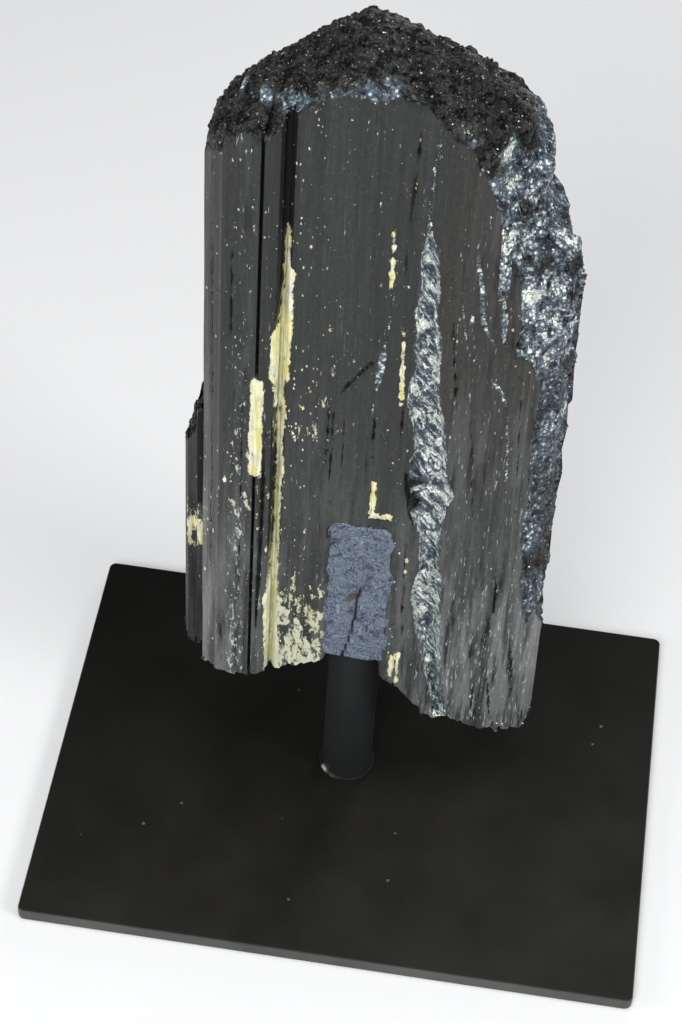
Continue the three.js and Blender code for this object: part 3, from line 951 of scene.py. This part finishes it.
side = close_stone("side_crystal", side_walls, level_lid, level_lid, SIDE_LID_STEPS, SIDE_LID_STEPS)
side_places, side_out = points_of(side)
side_x, side_y, side_z = side_places.T
side_wall_count = side_walls.shape[0] * side_walls.shape[1]
side_on_wall = np.arange(len(side_places)) < side_wall_count
from_end = np.minimum(side_z - SIDE_FOOT, read(SIDE_TOP_BY_X, side_x) - side_z)
side_broken = np.where(side_on_wall, 1.2 - from_end + 0.8 * soft(side_places, 3, 86), 4.0)
side_column = np.arange(len(side_places)) // (SIDE_ROWS + 1) * side_on_wall
side_split = ramp(side_broken, -0.2, 0.5)
side_rough = 0.6 * chips(side_places, 2.4, 88) + 0.3 * chips(side_places, 1.1, 89)
side_carve = 0.22 * ribs(side_column * SIDE_PITCH, side_z, 1.6, 87) * (1 - side_split)
side_carve += side_split * side_rough
move_points(side, side_places + side_out * side_carve[:, None])
cream_patch = near(side_z, 65, 9) * (side_y < 8)
side_crust = near(side_z, 65, 8) * (side_y < 8) * 1.1 - 0.95 + 0.9 * soft(side_places, 1.8, 90)
# Painted shade in the gap between the side crystal and the large one
side_gap_shade = np.where((side_x > -33.6) & (side_z > 72), 0.4, OUTSIDE)
store(side, broken=side_broken, silver=0.3, crust=side_crust, fleck=0.15 + 0.75 * cream_patch)
store(side, scratch=0.3, warm=0.4, haze=0.4, dark=side_gap_shade, feathered=0, tone=0.9)
print("side crystal", len(side_places), "points")

# %% [markdown]
# ## The tourmaline finish
# Sound faces, breaks and crust share one shader, and ragged masks choose between them. The
# noises come first. Growth leaves upright marks, so those noises are drawn out along the
# height.

# %% Lay out the stone's noises and colours
NIGHT = (0.006, 0.006, 0.0058, 1)
ASH = (0.05, 0.049, 0.043, 1)
SLATE_BLUE = (0.092, 0.132, 0.172, 1)
MOONLIGHT = (0.86, 0.91, 0.83, 1)
PITCH = grey(0.0025, -0.1)
SCAR_SLANT = math.radians(36)

stone = Paint("tourmaline", IOR=1.62, Specular_IOR_Level=0.26)
fine_lines = stone.noise(2.6, 3, 0.65, (1, 1, 0.03))
mid_lines = stone.noise(0.9, 2, 0.6, (1, 1, 0.022))
wide_lines = stone.noise(0.3, 2, 0.6, (1, 1, 0.03))
streaks = stone.noise(0.55, 4, 0.62, (1, 1, 0.1))
broad = stone.noise(0.24, 3, 0.6, (1, 1, 0.14))
mottle = stone.noise(1.5, 4, 0.7, (1, 1, 0.6))
tiny_grain = stone.noise(3.6, 3, 0.65)
clump = stone.noise(0.45, 2, 0.55)
cloud = stone.noise(0.16, 2, 0.5)
slant_settings = {"rotation_type": "Y_AXIS"}
slant = stone.node("VectorRotate", slant_settings, {"Vector": stone.place, "Angle": SCAR_SLANT})
feathered = stone.measured("feathered")
round_grain = stone.noise(1.15, 3, 0.6)
slant_grain = stone.noise(1.5, 3, 0.62, (1, 1, 0.14), slant)
grain = round_grain + (slant_grain - round_grain) * feathered
ragged_edge = stone.measured("broken") + (stone.noise(1.9, 3, 0.7) - 0.5) * 1.1
break_mask = ragged_edge.between(-0.02, 0.16)
print(len(stone.tree.nodes), "nodes of noise")

# %% [markdown]
# ## Sound faces
# Sound tourmaline is near black with a satin gleam, cooler at the front and browner at the
# right. Low down it is hazed with grey scuffs, and its rounded left edge has a painted sheen.
# Its splits and crevices are pitch black, partly as painted shade, and its grooves are
# painted pitch black as painted shade, with bands of painted shade beside them.

# %% Paint the sound faces
lines = (wide_lines * 0.35 + mid_lines * 0.35 + fine_lines * 0.3).between(0.34, 0.66)
lines = lines * 0.55 + mottle.between(0.3, 0.7) * 0.45
cool_face = stone.mix((0.0058, 0.0066, 0.0062, 1), (0.0295, 0.0334, 0.0314, 1), lines)
brown_face = stone.mix((0.0062, 0.006, 0.005, 1), (0.0375, 0.0358, 0.0312, 1), lines)
patchy = (streaks * 0.5 + broad * 0.5).between(0.42, 0.62)
haze_and_sheen_share = stone.measured("haze") * (patchy * 0.7 + lines * 0.3)
scratched = stone.measured("scratch")
sloping = scratched.between(0.45, 0.7)
face_colour = stone.layered(
    stone.mix(cool_face, brown_face, stone.measured("warm").between(0.1, 0.9)),
    ((0.165, 0.172, 0.166, 1), haze_and_sheen_share * 0.65),
    (grey(0.18, -0.04), fine_lines.between(0.6, 0.78) * 0.28),
    (PITCH, fine_lines.between(0.42, 0.3) * 0.4),
    (PITCH, streaks.between(0.42, 0.33) * (sloping * 0.75 + 0.2)),
    ((0.13, 0.142, 0.142, 1), broad.between(0.52, 0.64) * sloping * 0.2),
    ((0.11, 0.116, 0.108, 1), tiny_grain.between(0.56, 0.7) * 0.25),
)
# Painted shade: the face goes towards near black where the stored tone is low
face_colour = stone.mix(NIGHT, face_colour, stone.measured("tone") + (mid_lines - 0.5) * 0.8)
# Painted shade in the grooves, the slot and the crevices; the splits are dark cracks
dark_edge = stone.measured("dark") + (stone.noise(2.4, 3, 0.7, (1, 1, 0.35)) - 0.5) * 0.5
dark_mask = dark_edge.between(0.0, 0.1)
dashes = (stone.noise(2.4, 3, 0.65, (1, 1, 0.14)) + scratched * 0.13).between(0.74, 0.79)
face_colour = stone.layered(
    face_colour, (grey(0.0022, -0.2), dark_mask), ((0.38, 0.43, 0.47, 1), dashes * 0.8)
)
print(len(stone.tree.nodes), "nodes with the sound faces")

# %% [markdown]
# ## Breaks
# A break in this stone is granular, and Voronoi cells give each grain its painted brightness,
# which stands in for light mirrored by its facets. Where the painted sheen is strong the grains
# run together into clumps and veins, so the finest noises are turned down. Painted shade
# darkens the gaps between grains and the pits, and painted glints are scattered over the break.

# %% Paint the breaks
GRAINS_PER_MM = 1.5
SMALL_GRAINS_PER_MM = 3.6


def break_colours(paint, bright, silvery):
    """Near black to ash where the break is dull; through slate blue to a silvery painted reflection
    elsewhere.
    """
    middle = paint.mix(ASH, SLATE_BLUE, silvery.between(0.25, 0.55))
    dim = paint.mix(NIGHT, middle, bright.between(0.0, 0.5))
    return paint.mix(dim, MOONLIGHT, bright.between(0.42, 1.0))


def speckles(paint, scale, stretch, density, smallest, largest):
    """Irregular spots, one in each cell that density picks, each with its own size."""
    lot = paint.cells(scale, "Color", stretch)
    away = paint.cells(scale, "Distance", stretch) + (paint.noise(3.0, 3, 0.7) - 0.5) * 0.55
    size = paint.part("Color", lot, 1) ** 3 * (largest - smallest) + smallest
    picked = (paint.part("Color", lot, 0) + density).between(1.0, 1.02)
    return picked * (size - away).between(0.0, 0.05)


silvery = stone.measured("silver")
grain_lot = stone.cells(GRAINS_PER_MM, "Color")
grain_tone = stone.part("Color", grain_lot, 2)
grain_crown = (1 - stone.cells(GRAINS_PER_MM, "Distance")).between(0.3, 0.65)
calm = silvery.between(0.3, 0.8) * 0.6
veins = clump.between(0.36, 0.47) * clump.between(0.58, 0.47)
round_bright = grain * 0.18 + clump * 0.34 + cloud * 0.14
round_bright = round_bright + (tiny_grain * 0.16 + grain_tone * 0.18) * (1 - calm)
round_bright = round_bright + (grain * 0.2 + clump * 0.14) * calm
slant_bright = tiny_grain * 0.18 + grain * 0.52 + clump * 0.2 + cloud * 0.1
bright = (round_bright + (slant_bright - round_bright) * feathered).between(0.41, 0.61)
bright = (bright * 0.85 + 0.15) * silvery.between(-0.2, 1.0) * 1.2
# Painted shade: each grain is darker towards its edge
bright = bright * (1 - (1 - grain_crown) * (1 - feathered) * 0.45)
bright = bright + silvery.between(0.95, 1.6) * 0.7
bright = bright + (veins - 0.35) * calm * (1 - feathered) * 0.45
# Painted glints: sparse bright specks
glints = speckles(stone, 1.9, (1, 1, 1), 0.3, 0.12, 0.46)
bright = bright + glints * tiny_grain.between(0.35, 0.65) * (0.85 - silvery * 0.45)
break_colour = break_colours(stone, bright, silvery)
# Painted shade in the pits of the dull break, laid on as near black below
pit_shade = (round_grain * 0.5 + clump * 0.5).between(0.52, 0.43) * silvery.between(0.5, 0.15)
print(len(stone.tree.nodes), "nodes with the breaks")

# %% [markdown]
# ## Crust and flecks
# Cream to yellow crust fills the bands measured above. The same stuff is spotted over the
# faces as dots, dust and worn patches, and on the rougher faces it has gone a dull grey.

# %% Paint the crust and the flecks
fleck_share = stone.measured("fleck")
dots = speckles(stone, 0.75, (1, 1, 0.45), fleck_share * 0.5, 0.06, 0.28)
dust = speckles(stone, 1.6, (1, 1, 0.5), fleck_share * 1.0, 0.08, 0.32)
holes = stone.noise(1.0, 4, 0.66, (1, 1, 0.5)).between(0.53, 0.6)
patches = (stone.noise(0.66, 4, 0.66, (1, 1, 0.42)) + fleck_share * 0.27).between(0.755, 0.8)
patches = patches * (1 - holes * 0.8)
crust_edge = stone.measured("crust") + (stone.noise(2.2, 3, 0.7, (1, 1, 0.5)) - 0.5) * 0.9
wear = stone.noise(0.8, 4, 0.7, (1, 1, 0.3)).between(0.3, 0.4)
crust_mask = crust_edge.between(-0.16, 0.02) * wear
bare_share = (1 - dots) * (1 - dust * 0.8) * (1 - patches)
pale_mask = 1 - (1 - crust_mask) * (1 - (1 - bare_share) * (1 - break_mask * 0.85))
crust_lines = stone.noise(1.5, 2, 0.6, (1, 1, 0.08)).between(0.38, 0.58)
crust_colour = stone.layered(
    stone.mix((0.66, 0.6, 0.22, 1), (0.8, 0.8, 0.58, 1), crust_lines),
    ((0.5, 0.53, 0.4, 1), patches * 0.7),
    ((0.46, 0.49, 0.46, 1), stone.noise(0.4).between(0.52, 0.66) * 0.5),
    ((0.2, 0.2, 0.13, 1), tiny_grain.between(0.56, 0.72) * 0.6),
    ((0.46, 0.5, 0.51, 1), scratched.between(0.55, 0.8) * (1 - crust_mask) * 0.75),
)
print(len(stone.tree.nodes), "nodes with the crust")

# %% [markdown]
# ## Joining the stone's finishes
# Bright grains are made partly metallic, because they act as small mirrors. Each grain is
# also tipped its own way, so that a light is caught by some grains and missed by their
# neighbours.

# %% Join faces, breaks and crust
SHARP_ANGLE = math.radians(24)
CENTRE = (0.5, 0.5, 0.5)

base = stone.mix(face_colour, break_colour, break_mask)
# The near black over the pits is painted shade
base = stone.layered(base, (NIGHT, pit_shade * break_mask * 0.9), (crust_colour, pale_mask))
face_rough = 0.26 + mid_lines * 0.26 + dark_mask * 0.4
roughness = face_rough * (1 - break_mask) + (0.52 - bright * 0.24) * break_mask
roughness = roughness * (1 - pale_mask) + pale_mask * 0.8
metallic = break_mask * (1 - pale_mask) * (bright.between(0.15, 0.8) * 0.6 + pit_shade * 0.8)

tips = stone.vector("SUBTRACT", grain_lot, CENTRE)
small_tips = stone.vector("SUBTRACT", stone.cells(SMALL_GRAINS_PER_MM, "Color"), CENTRE)
tips = stone.vector("ADD", tips, stone.vector("SCALE", small_tips, scale=0.6))
tipping = break_mask * (0.42 + silvery * 0.14) * (1 - feathered * 0.45)
facing = stone.node("NewGeometry", out="Normal")
facing = stone.vector("ADD", facing, stone.vector("SCALE", tips, scale=tipping))
facing = stone.vector("NORMALIZE", facing)
relief = (fine_lines * 0.6 + mid_lines + streaks * 0.4 + mottle * 0.3) * (1 - break_mask) * 0.4
relief = relief + (grain + tiny_grain * 0.6 + grain_crown * 0.6) * break_mask
relief = relief + pale_mask * 0.4 - dark_mask * 0.5
facing = stone.bump(relief, 0.35, 0.7, facing)

tourmaline = stone.finish(Base_Color=base, Roughness=roughness, Metallic=metallic, Normal=facing)
for piece in (crystal, side):
    piece.data.materials.append(tourmaline)
    piece.data.shade_smooth()
    piece.data.set_sharp_from_angle(angle=SHARP_ANGLE)
    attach(piece, "root")
    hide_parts("crystal")
print(len(stone.tree.nodes), "nodes in all")

# %% [markdown]
# ## Loose-looking grains on the breaks
# The real grains are under a millimetre, too fine for the crystal's mesh, and a bump can't
# give them an outline or a shadow. So they are small uneven octahedra, half sunk in the
# breaks.

# %% Scatter the grains
GRAINS = 15000
GRAIN_RADIUS = (0.16, 0.46)
GRAIN_SUNK = 0.6
WELL_BROKEN = 0.7
CORNERS = np.array([(1, 0, 0), (0, 1, 0), (-1, 0, 0), (0, -1, 0), (0, 0, 1), (0, 0, -1)])
CORNER_FACES = np.array(
    [(0, 1, 4), (1, 2, 4), (2, 3, 4), (3, 0, 4), (1, 0, 5), (2, 1, 5), (3, 2, 5), (0, 3, 5)]
)
draw = np.random.default_rng(11)
places, outwards = points_of(crystal)
area = gathered(crystal.data.polygons, "area")
first = gathered(crystal.data.polygons, "loop_start", int)
corner_of = gathered(crystal.data.loops, "vertex_index", int)
start, opposite = corner_of[first], corner_of[first + 2]
in_view = np.where(back_side | on_foot, 0.35, 1.0) * (1 - 0.7 * in_strip)
weight = area * ((broken > WELL_BROKEN) & (pressed < 0.1))[start] * in_view[start]
chosen = draw.choice(len(weight), GRAINS, p=weight / weight.sum())
start, opposite = start[chosen], opposite[chosen]
share = draw.random((GRAINS, 1))
radius = GRAIN_RADIUS[0] + (GRAIN_RADIUS[1] - GRAIN_RADIUS[0]) * draw.random(GRAINS) ** 2.2
middle = places[start] + (places[opposite] - places[start]) * share
middle -= outwards[start] * (GRAIN_SUNK * radius)[:, None]
turns, _ = np.linalg.qr(draw.normal(size=(GRAINS, 3, 3)))
turns *= np.linalg.det(turns)[:, None, None]
stretch = draw.uniform(0.8, 1.1, (GRAINS, len(CORNERS), 1)) * radius[:, None, None]
grain_points = middle[:, None] + (CORNERS * stretch) @ turns
grain_faces = CORNER_FACES[None] + len(CORNERS) * np.arange(GRAINS)[:, None, None]
grains = add_mesh("break_grains", grain_points, grain_faces.reshape(-1, 3).tolist())
glint = np.clip(silver[start], 0, 1.2) * (0.42 + 0.42 * draw.random(GRAINS) ** 2)
glint *= 0.35 + 0.9 * ramp(soft(middle, 2.4, 99), -0.4, 0.5)
glint = np.maximum(glint, 0.7 * draw.random(GRAINS) ** 4 + 0.4 * (draw.random(GRAINS) < 0.05))
store(grains, glint=np.repeat(glint, len(CORNERS)))
print(GRAINS, "grains of", GRAIN_RADIUS, "mm; mean glint", round(float(glint.mean()), 2))

# %% [markdown]
# ## The grains' finish
# A grain takes the colours of the break it lies in. How strongly it glints, a painted
# highlight, was drawn for each grain, so neighbours differ.

# %% Paint the grains
sparkle = Paint("tourmaline_grain", IOR=1.62, Roughness=0.3, Specular_IOR_Level=0.3)
glint_share = sparkle.measured("glint") + (sparkle.noise(2.5, 2, 0.6) - 0.5) * 0.5
sparkle.finish(
    Base_Color=break_colours(sparkle, glint_share, glint_share),
    Metallic=glint_share.between(0.2, 0.9) * 0.6,
    Normal=sparkle.bump(sparkle.noise(5.0, 2, 0.6), 0.12, 0.6),
)
grains.data.materials.append(sparkle.material)
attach(grains, "root")
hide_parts("crystal")
print(len(sparkle.tree.nodes), "nodes for the grains")

# %% [markdown]
# ## Putty in the slot
# Grey-blue putty holds the rod's top in a hole in the stone's front. It was pushed in by
# hand, so its face is granular, dented and cracked. It is a slab closed like a stone, proud
# in the middle and dipping into the stone at the edge, so that noise alone draws its uneven
# outline.

# %% Build the putty
PUTTY_COLUMNS = 90
PUTTY_ROWS = 150
PUTTY_LID_STEPS = 10
PUTTY_SPREAD = 0.5
PUTTY_EDGE = 0.45
PUTTY_PROUD = 0.45
left, right = slot_low[0] - PUTTY_SPREAD, slot_high[0] + PUTTY_SPREAD
face_y, far_y = slot_low[1] + PUTTY_EDGE, slot_high[1]
top_z = slot_high[2] + PUTTY_SPREAD
putty_front = [(left, far_y), (left, face_y), (right, face_y), (right, far_y)]
putty_ring, _ = ring_of(putty_front, [(right, far_y), (left, far_y)], PUTTY_COLUMNS)
from_middle = np.abs(putty_ring[:, 0] - (left + right) / 2)
into_corner = np.maximum(0, from_middle - ((right - left) / 2 - SLOT_ROUND))
putty_rim = top_z - SLOT_ROUND + np.sqrt(SLOT_ROUND**2 - into_corner**2)
putty_walls = upright(putty_ring, np.full_like(putty_rim, slot_low[2]), putty_rim, PUTTY_ROWS)
putty = close_stone("putty", putty_walls, level_lid, level_lid, PUTTY_LID_STEPS, PUTTY_LID_STEPS)
putty_places, _ = points_of(putty)
px, py, pz = putty_places.T
on_face = py < face_y + 0.1
crack_x = read([(48, -3.9), (52, -2.9), (56, -2.3), (61, -1.9), (64, -1.9), (70, -0.9)], pz)
crack_x = crack_x + 0.2 * soft(putty_places, 1.8, 94)
crack_half = 0.32 * ramp(pz, 71.5, 66) * (0.7 + 0.3 * soft(putty_places, 3, 97))
split = on_face * ramp(crack_half - np.abs(px - crack_x), -0.15, 0.1)
chip_off = on_face * near(px + 2.6 - (pz - 66) * 0.5, 0, 0.9) * near(pz, 66, 1.9)
dents = 0.25 * soft(putty_places, 3.5, 91) + 0.2 * soft(putty_places, 1.4, 92)
dents += 0.1 * chips(putty_places, 0.9, 93)
from_edge = slab_inside(px, pz, left, right, top_z) + 0.5 * soft(putty_places, 2.2, 98)
crown = (PUTTY_EDGE + PUTTY_PROUD) * ramp(from_edge, 0.0, 1.3)
putty_move = np.where(on_face, crown + dents - 0.7 * split - 0.5 * chip_off, 0.05 * dents)
putty_places[:, 1] -= np.where(on_face, putty_move, 0)
putty_places[:, 2] += np.where(on_face, 0, putty_move)
move_points(putty, putty_places)
store(putty, split=split, chip_off=chip_off)
print("putty stands", round(-putty_places[:, 1].min() + slot_low[1], 2), "mm proud of the slot")

# %% [markdown]
# ## The putty's finish
# The putty is a dull blue-grey clay. Grit makes it granular and wiping left paler swipes.
# The crack and the dents are painted darker, as painted shade.

# %% Paint the putty
clay = Paint("blue_grey_putty", Specular_IOR_Level=0.4)
clay_grain = clay.noise(2.6, 4, 0.7)
clay_cloud = clay.noise(0.45, 3, 0.6)
swipe = clay.noise(1.1, 2, 0.5, (1, 1, 0.25))
hollows = clay.noise(1.4, 2, 0.5).between(0.36, 0.28)
clay_colour = clay.layered(
    clay.mix((0.045, 0.06, 0.1, 1), (0.225, 0.278, 0.345, 1), clay_grain.between(0.36, 0.68)),
    ((0.15, 0.18, 0.225, 1), clay_cloud.between(0.48, 0.65) * 0.6),
    ((0.03, 0.036, 0.055, 1), clay_cloud.between(0.46, 0.32) * 0.75),
    ((0.4, 0.42, 0.42, 1), swipe.between(0.66, 0.74) * 0.4),
    # Painted shade in the dents
    (grey(0.01, -0.1), hollows * 0.8),
    ((0.075, 0.07, 0.052, 1), clay.measured("chip_off").between(0.3, 0.7)),
    # Painted shade in the crack
    (grey(0.006, -0.1), clay.measured("split").between(0.3, 0.8) * 0.9),
)
clay_relief = clay.bump(clay_grain + clay_cloud - hollows, 0.3, 0.8)
putty.data.materials.append(clay.finish(Base_Color=clay_colour, Roughness=0.7, Normal=clay_relief))
putty.data.shade_smooth()
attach(putty, "root")
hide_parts("socket_filler")
print(len(clay.tree.nodes), "nodes for the putty")

# %% [markdown]
# ## Weld bead at the rod's foot
# The rod is fixed by a low, uneven bead, painted but for a pale stretch at the front left.
# A small oval turned round the rod and swollen by noise gives the lumps.

# %% Build the weld bead
BEAD_TURNS = 120
BEAD_SIDES = 14
BEAD_HALF = 0.6, 0.45
BARE_AT = math.radians(218)
WORN_AT = math.radians(245)
turn = np.linspace(0, 2 * np.pi, BEAD_TURNS, endpoint=False)
spin = np.linspace(0, 2 * np.pi, BEAD_SIDES, endpoint=False)
round_foot = np.stack([np.cos(turn), np.sin(turn), np.zeros_like(turn)], axis=-1)
round_foot *= rod_radius
lumps = (1 + 0.35 * soft(round_foot, 2.2, 95) + 0.12 * soft(round_foot, 0.9, 96))[:, None]
bead_away = rod_radius + 0.1 + BEAD_HALF[0] * lumps * np.cos(spin)
bead_up = plate_top + 0.05 + BEAD_HALF[1] * lumps * np.sin(spin)
bead_points = np.empty((BEAD_TURNS, BEAD_SIDES, 3))
bead_points[..., 0] = rod_centre[0] + bead_away * np.cos(turn)[:, None]
bead_points[..., 1] = rod_centre[1] + bead_away * np.sin(turn)[:, None]
bead_points[..., 2] = np.maximum(bead_up, plate_top - 0.3)
bead_grid = np.arange(BEAD_TURNS * BEAD_SIDES).reshape(BEAD_TURNS, BEAD_SIDES)
bead_next, bead_above = np.roll(bead_grid, -1, 0), np.roll(bead_grid, -1, 1)
bead_faces = np.stack([bead_grid, bead_next, np.roll(bead_next, -1, 1), bead_above], axis=-1)
bead = add_mesh("weld_bead", bead_points, bead_faces.reshape(-1, 4).tolist())
bare = near(turn, BARE_AT, 0.16) + 0.35 * near(turn, WORN_AT, 0.4)
store(bead, bare=np.repeat(bare, BEAD_SIDES))
print("bead of", len(bead.data.vertices), "points")

weld = Paint("weld", Specular_IOR_Level=0.15)
weld_noise = weld.noise(1.5, 3, 0.6)
weld_mask = (weld.measured("bare") + (weld_noise - 0.5) * 0.5).between(0.2, 1.0)
weld_colour = weld.mix(grey(0.008, 0.05), (0.34, 0.34, 0.31, 1), weld_mask)
weld_relief = weld.bump(weld_noise, 0.2, 0.6)
bead.data.materials.append(weld.finish(Base_Color=weld_colour, Roughness=0.65, Normal=weld_relief))
bead.data.shade_smooth()
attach(bead, "root")
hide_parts("rod_foot_weld")

# %% [markdown]
# ## Black coating on plate and rod
# Both are powder-coated steel, satin and very dark, with the faint orange peel of such a
# coat. The plate lies open to dust, so it has pale specks and pimples. It is also painted
# paler towards the front right and on its sideways faces, as painted sheen and painted
# highlight. Both keep their solid shapes.

# %% Paint the plate and the rod
def coating(name, colour, roughness, gloss, dust_and_sheen):
    """Powder coat; the last number is 1 where the coat lies open to dust and gets painted sheen and
    highlight, and 0 where it doesn't.
    """
    coat = Paint(name, Specular_IOR_Level=gloss)
    cloud = coat.noise(0.06, 3, 0.6)
    peel = coat.noise(1.8, 2, 0.5)
    lot = coat.cells(0.16, "Color")
    pimples = (1 - coat.cells(0.16, "Distance").between(0.035, 0.075)) * dust_and_sheen
    pimples = pimples * coat.part("Color", lot, 0).between(0.6, 0.62)
    dust = coat.noise(2.6, 4, 0.8).between(0.74, 0.8) * dust_and_sheen
    across, deep = coat.part("XYZ", coat.place, 0), coat.part("XYZ", coat.place, 1)
    # Painted sheen: the plate is made paler towards the front right, mottled by the cloud
    front_sheen = (across * 0.35 - deep).between(-70, 75) * dust_and_sheen
    # Painted highlight: faces that turn sideways, such as the plate's front edge, are made paler
    sides = coat.part("XYZ", coat.node("NewGeometry", out="Normal"), 2).between(0.98, 0.5)
    paler = tuple(1.25 * c for c in colour[:3]) + (1,)
    tone = coat.layered(
        coat.mix(colour, paler, cloud.between(0.3, 0.7)),
        ((0.019, 0.0185, 0.0155, 1), front_sheen * (0.1 + cloud * 1.2)),
        ((0.095, 0.1, 0.095, 1), sides * (0.3 + cloud) * dust_and_sheen),
        ((0.1, 0.095, 0.085, 1), 1 - (1 - pimples * 0.8) * (1 - dust * 0.35)),
    )
    relief = coat.bump(peel * 0.35 + pimples, 0.1, 0.5)
    return coat.finish(Base_Color=tone, Roughness=roughness + cloud * 0.12, Normal=relief)


for node, finish in (
    ("base_plate", coating("plate_coating", (0.0022, 0.002, 0.0015, 1), 0.42, 0.12, 1.0)),
    ("rod", coating("rod_coating", (0.015, 0.0165, 0.017, 1), 0.36, 0.35, 0.0)),
):
    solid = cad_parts[node]
    solid.data.materials.clear()
    solid.data.materials.append(finish)
    print(node, "is coated with", finish.name)
